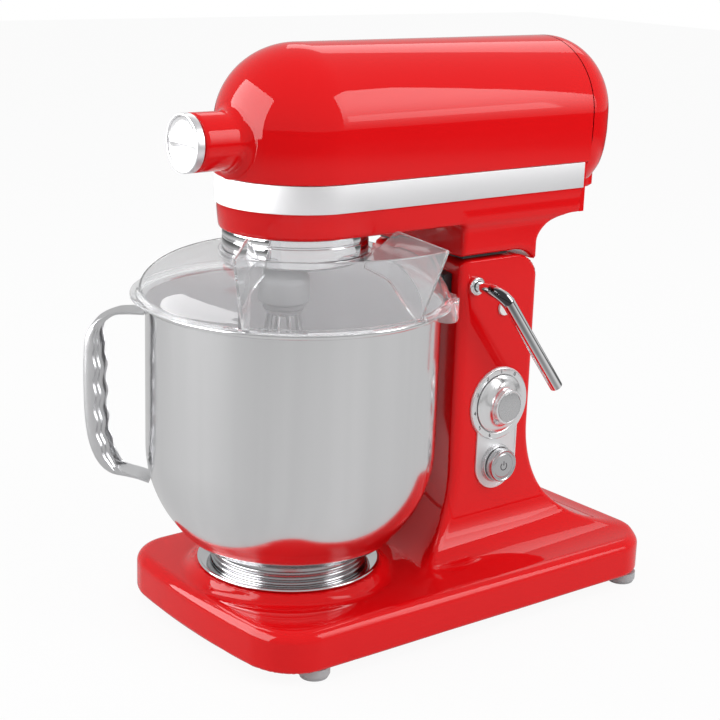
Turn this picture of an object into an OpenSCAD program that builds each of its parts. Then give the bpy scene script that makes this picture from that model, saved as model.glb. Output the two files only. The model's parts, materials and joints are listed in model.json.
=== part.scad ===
/* [Base] */
// Width of the base at its front
base_w = 226; // [218:1:236]
// How much further out each side of the base stands at its rear
base_splay = 6.5; // [0:0.5:8]
// Length of the base, front edge to rear edge
base_len = 394; // [385:1:400]
// Distance from the bowl axis to the front edge of the base
base_front = 93; // [90:1:98]
// How far the middle of the front edge bows out
base_bow = 5; // [2:0.5:7]
// Thickness of the base casting
base_h = 32; // [30:0.5:36]
// Corner radius of the base in plan
base_corner_r = 38; // [30:1:42]
// Radius of the top edge of the base
base_edge_r = 9; // [7:0.5:11]
// Wall thickness of the base casting
cast_wall = 6; // [5:0.5:7]
// Height of the rubber feet
foot_h = 9; // [7:0.5:12]
// Radius of a rubber foot
foot_r = 12; // [10:0.5:13]
// Distance of the feet from the sides of the base
foot_inset = 14.5; // [14:0.5:17]
// Distance of the front feet from the front edge
foot_front = 46; // [44:1:50]
// Distance of the rear feet from the rear edge
foot_rear = 26; // [24:1:30]

/* [Bowl seat] */
// Outer radius of the polished seat ring
seat_r = 72; // [71:0.5:73]
// Height of the seat ring's edge above the base
seat_h = 10; // [9.5:0.25:11]
// Radius of the raised boss where it meets the base
boss_r = 81; // [79:0.5:84]

/* [Bowl] */
// Outer radius of the bowl
bowl_r = 112; // [110:0.5:113]
// Height of the bowl from its floor to its rim
bowl_depth = 197; // [190:1:200]
// Radius of the shoulder between the bowl's side and its lower part
shoulder_r = 96; // [90:1:98]
// Sheet thickness of the bowl
bowl_wall = 1.2; // [1:0.1:1.5]
// Radius of the rolled rim bead
bead_r = 2.8; // [2.4:0.1:3]
// Outer radius of the bowl's foot ring
ring_foot_r = 60; // [59:0.25:60.5]
// Height of the bowl's foot ring
ring_foot_h = 21.5; // [20:0.5:23]
// Direction of the bowl handle, counted from the +X side
handle_angle = 231; // [226:1:236]
// Distance from the bowl axis to the outside of the handle
handle_reach = 159.5; // [155:0.5:162]
// Width of the handle strap
handle_w = 24; // [20:1:26]
// Thickness of the handle's strap
strap_t = 4; // [3:0.25:5]

/* [Column] */
// Width of the column
col_w = 112; // [110:0.5:113]
// Depth of the column behind its hollowed front
col_depth = 74; // [72:0.5:76]
// Radius of the column's upright rear edges
col_edge_r = 5; // [3:0.5:8]
// Free space between the splash guard and the column
col_gap = 4.7; // [4:0.1:6]
// Height of the column's top above the bowl rim
col_rise = 24; // [23:0.5:26]
// Radius of the column's top rear edge
col_top_r = 26; // [25:0.25:27]
// Height of the flare behind the column
rear_flare = 100; // [90:1:104]
// Height of the flares beside the column
side_flare = 45; // [40:1:48]
// Distance of the tilt hinge behind the column's hollowed front
hinge_back = 38; // [37.5:0.25:38.5]
// Drop of the tilt hinge below the column's top
hinge_drop = 43; // [42.5:0.25:43.5]
// Radius of the hinge pin
hinge_pin_r = 6; // [5:0.25:6.5]

/* [Lock lever] */
// Angle of the lever below the horizontal
lever_angle = 52.6; // [48:0.2:56]
// Length of the lever's long arm
lever_len = 107; // [100:1:112]
// Radius of the lever rod
lever_r = 3.75; // [3.25:0.05:4]
// Radius of the lever's arm, which is thicker than its shaft
arm_r = 5.3; // [4.8:0.1:5.6]
// How far the lever stands out from the column
lever_out = 32; // [28:0.5:36]

/* [Controls] */
// Radius of the round end of the control plate
plate_r = 30.5; // [29:0.25:31.5]
// Half width of the control plate's lower end
plate_lobe_r = 21.7; // [20:0.25:23]
// Thickness of the control plate
plate_t = 1.5; // [1:0.1:2]
// Radius of the speed dial's skirt
dial_r = 24; // [22:0.5:25]
// Radius of the speed dial's grip
grip_r = 14.2; // [13:0.2:15]
// Radius of the power button
button_r = 13.5; // [12:0.25:14]
// Travel of the power button
button_travel = 2.5; // [1.5:0.25:3]

/* [Head] */
// Half width of the head
head_r = 62; // [61:0.25:62.5]
// Height of the rounded top of the head
head_dome = 63.4; // [61:0.2:65]
// Height of the straight side between the band and the rounded top
head_side = 32; // [28:0.5:35]
// Height of the brushed band
band_h = 21; // [19:0.5:23]
// Height of the lower housing below the band
under_h = 20; // [19:0.5:22]
// Distance from the bowl axis to the centre of the round rear
head_len = 250; // [248:0.5:253]
// Depth of the round rear behind its centre
rear_deep = 45; // [43:0.5:48]
// Width of the lug under the rear cover
lug_w = 50; // [44:1:54]
// Depth of the lug under the rear cover
lug_deep = 18; // [14:0.5:20]
// Wall thickness of the head shells
shell_wall = 3; // [2.5:0.25:3.5]
// Radius of the attachment hub
hub_r = 21.2; // [20:0.2:22]
// Distance from the bowl axis to the face of the hub cap
hub_reach = 100.5; // [98:0.5:103]

/* [Planetary drive] */
// Radius of the polished planetary drum
drum_r = 55; // [54.5:0.1:55.5]
// Height of the turning part of the drum
drum_h = 10; // [9.5:0.25:11]
// Height of the drum's fixed part under the head
drip_h = 15.7; // [15:0.1:17]
// Height of the drum's lower edge above the bowl rim
drum_rise = 26; // [25:0.25:27]
// Angle of the beater around the bowl axis
planet_angle = 311; // [300:1:320]
// Radius of the whisk at its widest
whisk_r = 43; // [38:0.5:44]
// Radius of a whisk wire
wire_r = 1.1; // [0.9:0.05:1.3]
// Radius of the beater's collar
collar_r = 19.4; // [18:0.2:20]

/* [Guard and chute] */
// How far the splash guard reaches past the bowl
guard_lap = 11.3; // [10.5:0.1:12]
// Thickness of the clear plastic
clear_t = 2; // [1.6:0.1:2.4]
// Distance from the bowl axis to the straight rear edge of the guard
guard_chord = 102; // [98:0.5:103]
// Outer radius of the chute's rim
chute_r = 140; // [136:0.5:142]
// Height of the chute's rim above the bowl rim
chute_h = 55; // [50:0.5:57]

/* [Hidden] */
$fn = 96;
e = 0.01;
// Clearance of a running or seated fit, on the radius
fit = 0.05;
// Gap kept between bodies that only pass each other
gap = 0.4;

// Heights, from the table up
z_base = foot_h;
z_top = foot_h + base_h;
z_seat = z_top + seat_h;
z_lugs = z_top + 2.3;
z_bowl = z_lugs + ring_foot_h;
z_rim = z_bowl + bowl_depth;
z_drum = z_rim + drum_rise;
z_drip = z_drum + drum_h + gap;
z_head = z_drip + drip_h;
z_band = z_head + under_h;
z_shell = z_band + band_h;
z_dome = z_shell + head_side;
z_hub = z_dome - 4.5;
z_col = z_rim + col_rise;

// Column and hinge
guard_r = bowl_r + guard_lap;
col_r = guard_r + col_gap;
col_back = col_r + col_depth;
col_face = col_r - 10;
hinge_y = col_r + hinge_back;
hinge_z = z_col - hinge_drop;
neck_gap = 3.2;
cheek = 8;
lock_y = col_r + 6;
lock_z = z_col - 21.5;
base_back = base_len - base_front;

// Controls on the column's right side
side_x = col_w / 2;
dial_y = hinge_y - 0.5;
dial_z = z_col - 122.5;
button_z = dial_z - 50.5;
plate_x = side_x + plate_t;

// Planetary gear train
tooth_m = 2;
ring_teeth = 46;
pinion_teeth = 12;
planet_off = tooth_m * (ring_teeth - pinion_teeth) / 2;
tooth_add = 1.5;
tooth_ded = 2.2;
planet_r = 6;
main_r = 8;
face_teeth = 40;
drive_teeth = 10;
drive_m = 1.75;
face_r = drive_m * face_teeth / 2;
drive_r = drive_m * drive_teeth / 2;
z_face = z_hub - drive_r;

// Head
housing_end = head_len - 8;
band_t = 1.5;
band_r = head_r - 1;
motor_r = 38;
motor_y = 138;
motor_len = housing_end - motor_y - 14;
fan_r = 34;
fan_w = 7;
brush_y = motor_y + motor_len - 14;
brush_w = 5;
floor_t = 5;
z_floor = z_head + floor_t;

// Seat cup, lugs and fasteners
cup_r = ring_foot_r + 6;
lip_r = ring_foot_r + 0.6;
z_lip = z_lugs + 3.6;
lug_span = 34;
lug_twist = 60;
screw_r = 2.5;
bush_r = 6;
gland_r = 7;
cord_r = 4;
gland_x = -20;
gland_z = z_top + 62;

// Screws of the rear cover: their seat in it, and the end of the posts that they turn into
rear_screw_x = 14;
rear_y = head_len + rear_deep;
rear_seat_y = rear_deep * sqrt(1 - pow(rear_screw_x / head_r, 2)) - 1.8;
rear_post_y = (rear_deep - shell_wall)
    * sqrt(1 - pow((rear_screw_x + 2 * screw_r) / (head_r - shell_wall), 2)) - gap;

// Tongue of the neck, and the slot that it swings in
tongue_w = 28;
tongue_y0 = hinge_y - 8;
tongue_y1 = hinge_y + 8;
tongue_slot_z = hinge_z + 17.5;
cam_r = 6.5;
cam_t = 4.4;

// Feet, and the hollow under the base between them
foot_y = [foot_front - base_front, base_back - foot_rear];
tray_x = base_w / 2 - foot_inset - foot_r - 4;
tray_y0 = cast_wall - base_front + 10;
tray_y1 = base_back - cast_wall - 10;

board_y = col_back - 16;

// Drive
ring_pitch_r = tooth_m * ring_teeth / 2;
pinion_r = tooth_m * pinion_teeth / 2;
ring_in = 30;
shaft_r = 5;
gear_w = 9;
z_gear = z_drip + 2;
plate_low = z_band + 2;
drip_screw_angles = [20, 110, 200];
z_collar_low = z_drum - 29;
whisk_loops = 5;
wire_in = 11;

// Guard and chute
guard_in = drum_r + 2.5;
guard_h = 31;
clip_angles = [-128, -104, 54];
hook_angles = [105, 180, 255];
chute_a0 = -53.6;
chute_a1 = 14.4;
chute_turn0 = 7.5;
chute_turn1 = 14.5;
chute_knee = 80;
chute_in = 58;
sensor_x = 22;
sensor_w = 21;

// Origin: the middle of the whole part's footprint
origin_x = (chute_r - guard_r) / 2;
handle_low = handle_reach * sin(handle_angle) + handle_w / 2 * cos(handle_angle);
origin_y = (base_back + handle_low) / 2;

// ---- Helpers -------------------------------------------------------------

// Points of an arc in the plane
function arc(c, r, a0, a1, n = 12) =
    [for (i = [0 : n]) c + r * [cos(a0 + (a1 - a0) * i / n), sin(a0 + (a1 - a0) * i / n)]];

// Point at a radius and an angle around the bowl axis
function polar(r, a) = r * [cos(a), sin(a)];

// Points of an elliptical arc in the plane
function oval(c, rx, ry, a0, a1, n = 12) =
    [for (i = [0 : n]) let (a = a0 + (a1 - a0) * i / n) [c.x + rx * cos(a), c.y + ry * sin(a)]];

// Rounded plan outline at height z, with a front edge that bows out
function outline(z, w, y0, y1, r, bow = 0) = [
    for (p = concat(
        arc([w - r, y1 - r], r, 0, 90, 6),
        arc([r - w, y1 - r], r, 90, 180, 6),
        arc([r - w, y0 + r], r, 180, 270, 6),
        [for (t = [-3 : 3]) [(w - r) * t / 4, y0 - bow * (1 - pow(t / 4, 2))]],
        arc([w - r, y0 + r], r, 270, 360, 6)
    )) [p.x, p.y, z]
];

// Solid through a stack of outlines that have equal numbers of points
module loft(rings) {
    n = len(rings[0]);
    m = len(rings);
    points = [for (ring = rings) for (p = ring) p];
    bottom = [[for (i = [n - 1 : -1 : 0]) i]];
    top = [[for (i = [0 : n - 1]) (m - 1) * n + i]];
    sides = [for (k = [0 : m - 2]) for (i = [0 : n - 1])
        let (a = k * n + i, b = k * n + (i + 1) % n, c = a + n, d = b + n)
        each [[a, b, d], [a, d, c]]];
    outward = [for (f = concat(bottom, sides, top)) [for (i = [len(f) - 1 : -1 : 0]) f[i]]];
    polyhedron(points = points, faces = outward);
}

// Extrudes an outline drawn in Y and Z along X
module along_x(x0, x1) {
    translate([x0, 0, 0]) rotate([90, 0, 90]) linear_extrude(x1 - x0) children();
}

// Extrudes an outline drawn in X and Z along Y
module along_y(y0, y1) {
    translate([0, y1, 0]) rotate([90, 0, 0]) linear_extrude(y1 - y0) children();
}

// Round rod along X, Y or Z between two places
module rod_x(x0, x1, r) {
    translate([x0, 0, 0]) rotate([0, 90, 0]) cylinder(r = r, h = x1 - x0);
}
module rod_y(y0, y1, r) {
    translate([0, y1, 0]) rotate([90, 0, 0]) cylinder(r = r, h = y1 - y0);
}

// Cube from one corner to the opposite corner
module box(a, b) {
    translate(a) cube(b - a);
}

// Moves a module to the tilt hinge, the lock shaft, the dial or the button
module at_hinge() { translate([0, hinge_y, hinge_z]) children(); }
module at_lock() { translate([0, lock_y, lock_z]) children(); }
module at_dial() { translate([0, dial_y, dial_z]) children(); }
module at_button() { translate([0, dial_y, button_z]) children(); }
module at_motor() { translate([0, 0, z_hub]) children(); }
module at_planet() { rotate([0, 0, planet_angle]) translate([planet_off, 0, 0]) children(); }

// ---- Base and column -----------------------------------------------------

// Half width of the base at one distance behind the bowl axis
function base_half(y) = base_w / 2 + base_splay * (y + base_front) / base_len;

// Plan outline of the base, drawn in by an inset
function base_ring(z, inset) = [
    for (p = outline(
        z, base_w / 2 - inset, inset - base_front + base_bow, base_back - inset,
        base_corner_r - inset, base_bow
    )) [p.x * base_half(p.y) / (base_w / 2), p.y, p.z]
];

module base_slab() {
    z_round = z_top - base_edge_r;
    loft(concat(
        [base_ring(z_base, 1)],
        [base_ring(z_base + 2, 0)],
        [for (a = [0 : 15 : 90]) base_ring(z_round + base_edge_r * sin(a), base_edge_r * (1 - cos(a)))]
    ));
}

// Share of a flare of height h that is left at height z above the base
function flare(z, h) = h - sqrt(pow(h, 2) - pow(max(0, h - z), 2));

module column_loft() {
    steps = [0, 3, 7, 12, 18, 25, 33, 42, 52, 64, 78, 92, z_col - z_top];
    y_limit = base_back - base_edge_r - 2;
    loft([for (h = steps)
        let (w = side_x + 0.75 * flare(h, side_flare))
        outline(z_top - 1 + h, w, col_face - 0.6 * flare(h, side_flare),
            min(col_back + flare(h, rear_flare), y_limit), col_edge_r + flare(h, side_flare) / 4)]);
}

// Space that the bowl and the guard stand in
module bowl_space() {
    rotate_extrude() polygon(concat(
        [[0, z_top + 1], [boss_r + 2, z_top + 1]],
        oval([boss_r + 2, z_top + 71], col_r - boss_r - 2, 70, -90, 0),
        [[col_r, z_col + 1], [0, z_col + 1]]
    ));
}

// Rounds the top rear edge of the column
module column_top_cut() {
    c = [col_back - col_top_r, z_col - col_top_r];
    along_x(-side_x - 1, side_x + 1) polygon(concat(
        arc(c, col_top_r, 0, 90),
        [[c.x, z_col + 5], [col_back + 5, z_col + 5], [col_back + 5, c.y]]
    ));
}

// Room inside the column for the electrics and the neck's tongue
module column_hollow() {
    inner = side_x - cheek;
    box([-inner, col_r + 6, z_base - 1], [inner, col_back - 6, z_col - 6]);
    box([-tongue_w - 1, tongue_y0 - 1, tongue_slot_z], [tongue_w + 1, col_back + 10, z_col + 5]);
    at_lock() rod_x(tongue_w + 1, inner, cam_r + 2 * gap);
}

// Places of the four feet
module at_feet() {
    for (side = [-1, 1]) for (y = foot_y) translate([side * (base_half(y) - foot_inset), y, 0]) children();
}

module base_casting() {
    color("red") difference() {
        union() {
            base_slab();
            difference() {
                column_loft();
                bowl_space();
                column_top_cut();
            }
            translate([0, 0, z_top - 1]) cylinder(r1 = boss_r, r2 = seat_r + 1.5, h = seat_h - 3);
        }
        box([-tray_x, tray_y0, z_base - 1], [tray_x, tray_y1, z_top - cast_wall]);
        column_hollow();
        translate([0, 0, z_top]) cylinder(r = cup_r + fit, h = 20);
        at_feet() cylinder(r = screw_r + fit, h = z_base + 12);
        at_seat_screws() cylinder(r = screw_r + fit, h = 10, center = true);
        at_hinge() rod_x(-side_x - 1, side_x + 1, hinge_pin_r + fit);
        at_lock() rod_x(tongue_w, side_x + 1, bush_r + fit);
        at_dial() rod_x(side_x - cheek - 1, side_x + 1, 6);
        at_button() rod_x(side_x - cheek - 1, side_x + 1, 7);
        translate([gland_x, 0, gland_z]) rod_y(col_back - 8, col_back + 60, gland_r + fit);
    }
}

module bottom_plate() {
    color("silver") difference() {
        box([-tray_x + gap, tray_y0 + gap, z_base], [tray_x - gap, tray_y1 - gap, z_base + 2]);
        for (y = [0 : 12 : 96]) box([-30, y - 40, z_base - 1], [30, y - 36, z_base + 3]);
    }
}

module feet() {
    color("lightgray") at_feet() difference() {
        union() {
            cylinder(r1 = foot_r - 1.5, r2 = foot_r, h = 3);
            translate([0, 0, 3]) cylinder(r = foot_r, h = foot_h - 3);
        }
        translate([0, 0, -1]) cylinder(r = 2 * screw_r + fit, h = 5);
        cylinder(r = screw_r + fit, h = foot_h + 1);
    }
}

module foot_screws() {
    color("silver") at_feet() {
        translate([0, 0, 1.5]) cylinder(r = 2 * screw_r, h = 2.5);
        translate([0, 0, 3]) cylinder(r = screw_r, h = z_base + 7);
    }
}

// ---- Bowl seat -----------------------------------------------------------

// Cup and dished ring that the bowl's foot twists into
module seat_ring() {
    color("gainsboro") difference() {
        rotate_extrude() polygon([
            [0, z_top], [cup_r, z_top], [cup_r, z_seat - 3], [seat_r, z_seat - 1.5],
            [seat_r, z_seat], [seat_r - 1.5, z_seat + 0.6], [lip_r, z_seat - 2.5],
            [lip_r, z_lip], [cup_r - 3, z_lip], [cup_r - 3, z_top + 2], [0, z_top + 2]
        ]);
        at_lugs(lug_twist) lug_sector(cup_r - 3 - e, z_lip - 1, 10, lug_span + 8);
        at_seat_screws() cylinder(r = screw_r + fit, h = 10, center = true);
    }
}

module seat_screws() {
    color("silver") at_seat_screws() {
        translate([0, 0, 2]) cylinder(r = 1.6 * screw_r, h = 1.6);
        translate([0, 0, -4.5]) cylinder(r = screw_r, h = 7);
    }
}

// Three places around the bowl axis
module at_lugs(turn = 0) {
    for (i = [0 : 2]) rotate([0, 0, turn + 120 * i]) children();
}

module at_seat_screws() {
    for (i = [0 : 3]) rotate([0, 0, 45 + 90 * i]) translate([40, 0, z_top]) children();
}

// Sector of a disc: radius, bottom height, thickness and angle
module lug_sector(r, z, h, span) {
    rotate([0, 0, -span / 2]) rotate_extrude(angle = span) translate([0, z]) square([r, h]);
}

// ---- Controls on the column ----------------------------------------------

module control_plate() {
    color("silver") difference() {
        along_x(side_x, plate_x) {
            translate([dial_y, dial_z]) circle(r = plate_r);
            translate([dial_y, button_z]) circle(r = plate_lobe_r);
            translate([dial_y - plate_lobe_r, button_z]) square([2 * plate_lobe_r, dial_z - button_z]);
        }
        at_dial() rod_x(0, plate_x + 1, 6);
        at_button() rod_x(0, plate_x + 1, 7);
    }
}

module speed_pot() {
    color("dimgray") at_dial() difference() {
        union() {
            rod_x(side_x - cheek - 14, side_x - cheek, 11);
            rod_x(side_x - cheek - 1, plate_x, 6 - fit);
        }
        rod_x(side_x - cheek - 10, plate_x + 1, 3 + fit);
    }
}

module button_bezel() {
    color("silver") at_button() difference() {
        union() {
            rod_x(plate_x, plate_x + 3, button_r + 2);
            rod_x(side_x - cheek - 2, plate_x + 1, 7 - fit);
        }
        rod_x(side_x - cheek - 3, plate_x + 4, 5);
        rod_x(plate_x + 0.5, plate_x + 4, button_r + gap);
    }
}

module switch_body() {
    color("dimgray") at_button() difference() {
        rod_x(side_x - cheek - 24, side_x - cheek - 2, 10);
        rod_x(side_x - cheek - 8, side_x, 4.2);
    }
}

module dial_knob() {
    x = plate_x + gap;
    color("silver") at_dial() difference() {
        rotate([90, 0, 90]) rotate_extrude() polygon(concat(
            [[0, x], [dial_r, x], [dial_r, x + 1.5]],
            oval([dial_r - 1, x + 5.5], dial_r - grip_r - 1, 4, -90, -180, 6),
            [[grip_r, x + 12], [0, x + 12]]
        ));
        rod_x(x - 1, x + 6, 3 + fit);
        rod_x(x + 11, x + 13, grip_r - 1.2);
    }
}

module dial_cap() {
    x = plate_x + gap + 11;
    color("gainsboro") at_dial() rod_x(x, x + 1.3, grip_r - 1.3);
}

module dial_spindle() {
    color("silver") at_dial() rod_x(side_x - cheek - 9, plate_x + gap + 6, 3);
}

module button_cap() {
    color("gainsboro") at_button() difference() {
        rod_x(plate_x + 0.5 + button_travel + gap, plate_x + 10, button_r);
        rod_x(plate_x + 9.2, plate_x + 11, button_r - 2.5);
    }
}

module button_stem() {
    color("dimgray") at_button() rod_x(side_x - cheek - 5 + gap, plate_x + 0.5 + button_travel + gap, 4);
}

module control_board() {
    color("green") box([-40, board_y, z_top + 30], [20, board_y + 1.6, z_top + 110]);
    color("green") for (x = [-34, 14]) for (z = [z_top + 36, z_top + 104])
        translate([x, 0, z]) rod_y(board_y + 1.6 - e, col_back - 6, 3);
}

module board_parts() {
    color("dimgray") {
        box([-36, board_y - 14, z_top + 40], [-12, board_y, z_top + 70]);
        for (z = [z_top + 48, z_top + 72, z_top + 96]) translate([4, 0, z]) rod_y(board_y - 18, board_y, 7);
        box([-34, board_y - 10, z_top + 80], [-10, board_y, z_top + 100]);
    }
}

module guard_sensor() {
    color("dimgray") difference() {
        box([sensor_x, col_face - 5, z_rim - 12], [sensor_x + sensor_w, col_r - 1, z_rim + 11]);
        translate([0, 0, z_rim - 20]) cylinder(r = bowl_r + 2 * bead_r + 1, h = 50);
        difference() {
            translate([0, 0, z_rim - 20]) cylinder(r = col_r + 20, h = 50);
            translate([0, 0, z_rim - 21]) cylinder(r = col_r - 0.1, h = 52);
        }
    }
}

module cord_gland() {
    seat = col_back + flare(gland_z - z_top - gland_r - 3, rear_flare) + gap;
    color("dimgray") translate([gland_x, 0, gland_z]) difference() {
        union() {
            rod_y(col_back - 8, seat + 1, gland_r);
            rod_y(seat, seat + 7, gland_r + 3);
        }
        rod_y(col_back - 9, seat + 8, cord_r);
    }
}

// ---- Tilt hinge and lock -------------------------------------------------

module hinge_pin() {
    color("silver") at_hinge() rod_x(-side_x + 1, side_x - 1, hinge_pin_r);
}

module pin_caps() {
    color("white") for (x = [-side_x - 2, side_x - 1]) at_hinge() rod_x(x, x + 3, hinge_pin_r);
}

module lock_bush() {
    color("gainsboro") at_lock() difference() {
        union() {
            rod_x(side_x - cheek, side_x + 3, bush_r);
            rod_x(side_x, side_x + 3, bush_r + 1.5);
        }
        rod_x(side_x - cheek - 1, side_x + 4, lever_r + fit);
    }
}

// Rod that leaves the column along X and bends down along the column
module lever_rod() {
    xb = side_x + lever_out;
    bend = 8;
    color("silver") at_lock() rotate([-lever_angle, 0, 0]) {
        rod_x(tongue_w + gap, xb - bend, lever_r);
        translate([xb - bend, bend, 0]) rotate([0, 0, -90]) rotate_extrude(angle = 90)
            translate([bend, 0]) circle(r = lever_r);
        translate([xb, 2 * bend, 0]) rotate([90, 0, 0]) cylinder(r1 = arm_r, r2 = lever_r, h = bend);
        translate([xb, 0, 0]) rod_y(2 * bend, lever_len - 1, arm_r);
        translate([xb, lever_len, 0]) rotate([90, 0, 0]) cylinder(r1 = arm_r - 1, r2 = arm_r, h = 1);
    }
}

module lever_cam() {
    color("gray") at_lock() difference() {
        union() {
            rod_x(tongue_w + 4, tongue_w + 12, cam_r);
            box([tongue_w + 4, 0, -cam_t / 2], [tongue_w + 12, 2 * cam_r, cam_t / 2]);
        }
        rod_x(tongue_w, tongue_w + 20, lever_r + fit);
    }
}

// Dark strip that closes the slit between the neck and the column
module neck_seal() {
    color("black") difference() {
        box([-side_x + 5, col_face + 6, z_col], [side_x - 5, hinge_y + 4, z_col + neck_gap - gap]);
        box([-tongue_w - 1, tongue_y0 - 1, z_col - 1], [tongue_w + 1, col_back, z_col + 9]);
    }
}

// ---- Head shells ---------------------------------------------------------

// Head-shaped solid from an outline in radius and height: a round front and straight sides
module bullet(y1) {
    rotate([0, 0, 180]) rotate_extrude(angle = 180) children();
    along_y(0, y1) {
        children();
        mirror([1, 0]) children();
    }
}

// Outline of the lower housing; inset draws in its sides and its floor
module housing_side(inset, top) {
    r = band_r - band_t - inset;
    low = z_head + (inset > 0 ? floor_t : 0);
    polygon(concat(
        [[0, low], [r - 6, low]],
        oval([r - 6, low + 5], 4, 5, -90, 0, 6),
        [[r, z_band - 1], [r, top], [0, top]]
    ));
}

// Outline of the upper shell; inset draws in its sides and its crown
module shell_side(inset, low) {
    polygon(concat(
        [[0, low], [head_r - inset, low]],
        oval([0, z_dome], head_r - inset, head_dome - inset, 0, 90, 18)
    ));
}

// Side view of the neck, with the skirt that wraps the column's top rear edge
module neck_side() {
    c = [col_back - col_top_r, z_col - col_top_r];
    skirt_r = col_top_r + neck_gap;
    back = col_back - 2;
    tail = housing_end - 2 - back;
    y_tip = back - c.x;
    a_tip = acos(y_tip / skirt_r);
    front = col_face + 2;
    fillet = 16;
    polygon(concat(
        [[front, z_col + neck_gap], [c.x, z_col + neck_gap]],
        arc(c, skirt_r, 90, a_tip),
        [[back, z_head - 22]],
        oval([back + tail, z_head - 22], tail, 22, 180, 90, 8),
        [[back + tail, z_head + 4], [front - fillet, z_head + 4]],
        oval([front - fillet, z_head - fillet], fillet, fillet, 90, 0, 8)
    ));
}

// Plate that hangs from the neck into the column and turns on the hinge pin
module tongue() {
    box([-tongue_w, tongue_y0, hinge_z], [tongue_w, tongue_y1, z_head + 4]);
    at_hinge() rod_x(-tongue_w, tongue_w, hinge_pin_r + 6);
}

module head_housing() {
    color("red") difference() {
        union() {
            bullet(housing_end) housing_side(0, z_shell);
            along_x(-side_x, side_x) neck_side();
            tongue();
        }
        bullet(housing_end - shell_wall) housing_side(shell_wall, z_shell + 1);
        at_hinge() rod_x(-side_x, side_x, hinge_pin_r + fit);
        cylinder(r = 16 + fit, h = z_floor + 1);
        for (a = drip_screw_angles) rotate([0, 0, a]) translate([drum_r - 9, 0, z_head - 1])
            cylinder(r = screw_r + fit, h = floor_t + 2);
    }
}

module rear_plate() {
    color("red") difference() {
        box([-band_r + 3, housing_end, z_head], [band_r - 3, housing_end + 5, z_shell]);
        for (z = [z_band - 8 : 6 : z_band + 10]) box([-24, housing_end - 1, z], [24, housing_end + 6, z + 2]);
    }
}

module side_band() {
    color("silver") bullet(housing_end)
        translate([band_r - band_t + fit, z_band]) square([band_t - fit, band_h - gap]);
}

module head_shell() {
    seam = head_len - 3;
    color("red") difference() {
        union() {
            bullet(seam) shell_side(0, z_shell);
            at_motor() rod_y(7 - hub_reach, -head_r + 8, hub_r);
            at_motor() translate([0, 10 - head_r, 0]) rotate([90, 0, 0])
                cylinder(r1 = hub_r + 5, r2 = hub_r, h = 14);
        }
        bullet(seam + 1) shell_side(shell_wall, z_shell - 1);
        at_motor() rod_y(-hub_reach, 0, hub_r - 3);
    }
    color("red") difference() {
        at_rear_screws() {
            rod_y(-6.5, rear_post_y, 2 * screw_r);
            box([0, -6.5, -2 * screw_r], [head_r - rear_screw_x - shell_wall + 1, -3, 2 * screw_r]);
        }
        at_rear_screws() rod_y(rear_post_y - 12, rear_post_y + 1, screw_r + fit);
    }
}

// Outline of the rear cover: rounded above and drawn in below
module cover_side(inset) {
    r = head_r - inset;
    polygon(concat(
        [[0, z_band + 2 + inset], [r - 18, z_band + 2 + inset], [r - 15, z_band + 7 + inset]],
        oval([r - 30, z_dome - 6], 30, head_side + 8 - inset, -60, 0, 8),
        oval([0, z_dome], r, head_dome - inset, 0, 90, 18)
    ));
}

// Round rear of the head from an outline of a half width, with straight sides that start at y0
module rear_bullet(y0, inset) {
    translate([0, head_len, 0]) scale([1, (rear_deep - inset) / (head_r - inset), 1])
        rotate_extrude(angle = 180) children();
    along_y(y0, head_len) {
        children();
        mirror([1, 0]) children();
    }
}

module rear_cover() {
    y0 = head_len - 2.6;
    color("red") difference() {
        rear_bullet(y0, 0) cover_side(0);
        rear_bullet(y0 - 1, shell_wall) cover_side(shell_wall);
        at_rear_screws() rod_y(20, head_r, screw_r + fit);
        at_rear_screws() rod_y(rear_seat_y, head_r + 1, 2 * screw_r + fit);
    }
    color("red") box([-lug_w / 2, rear_y - lug_deep, z_band - 8], [lug_w / 2, rear_y + 0.5, z_band + 12]);
}

// Places of the two screws that hold the rear cover, the second one mirrored
module at_rear_screws() {
    for (side = [0, 1]) mirror([side, 0, 0]) translate([rear_screw_x, head_len, z_dome - 9]) children();
}

module rear_screws() {
    color("silver") at_rear_screws() {
        rod_y(rear_post_y - 11, rear_seat_y + 0.5, screw_r);
        rod_y(rear_seat_y, rear_seat_y + 1.8, 2 * screw_r);
    }
}

// ---- Planetary drive -----------------------------------------------------

// Gear teeth as a flat outline: pitch radius, count, height above the pitch line and depth below
module teeth(pitch_r, count, add, ded, half_pitch = 0.21) {
    step = 2 * PI * pitch_r / count;
    w = half_pitch * step;
    for (i = [0 : count - 1]) rotate([0, 0, 360 * i / count]) polygon([
        [pitch_r - ded, -w * 1.35], [pitch_r + add, -w * 0.5],
        [pitch_r + add, w * 0.5], [pitch_r - ded, w * 1.35]
    ]);
}

// Fixed polished ring that hides the ring gear
module drip_ring() {
    z1 = z_drip;
    color("gainsboro") difference() {
        rotate_extrude() polygon([
            [drum_r - 3, z1], [drum_r, z1], [drum_r, z1 + 9], [drum_r - 0.6, z1 + 9.4],
            [drum_r - 0.6, z1 + 10.4], [drum_r, z1 + 10.8], [drum_r, z_head],
            [ring_in, z_head], [ring_in, z_head - 2.5], [drum_r - 3, z_head - 2.5]
        ]);
        for (a = drip_screw_angles) rotate([0, 0, a]) translate([drum_r - 9, 0, z_head - 4])
            cylinder(r = screw_r + fit, h = 6);
    }
}

module ring_gear() {
    color("gray") translate([0, 0, z_gear]) linear_extrude(gear_w) rotate([0, 0, planet_angle]) difference() {
        circle(r = drum_r - 3 - fit);
        circle(r = ring_pitch_r - tooth_add);
        teeth_gap(ring_pitch_r, ring_teeth, tooth_ded, tooth_add + 0.5);
    }
}

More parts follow.
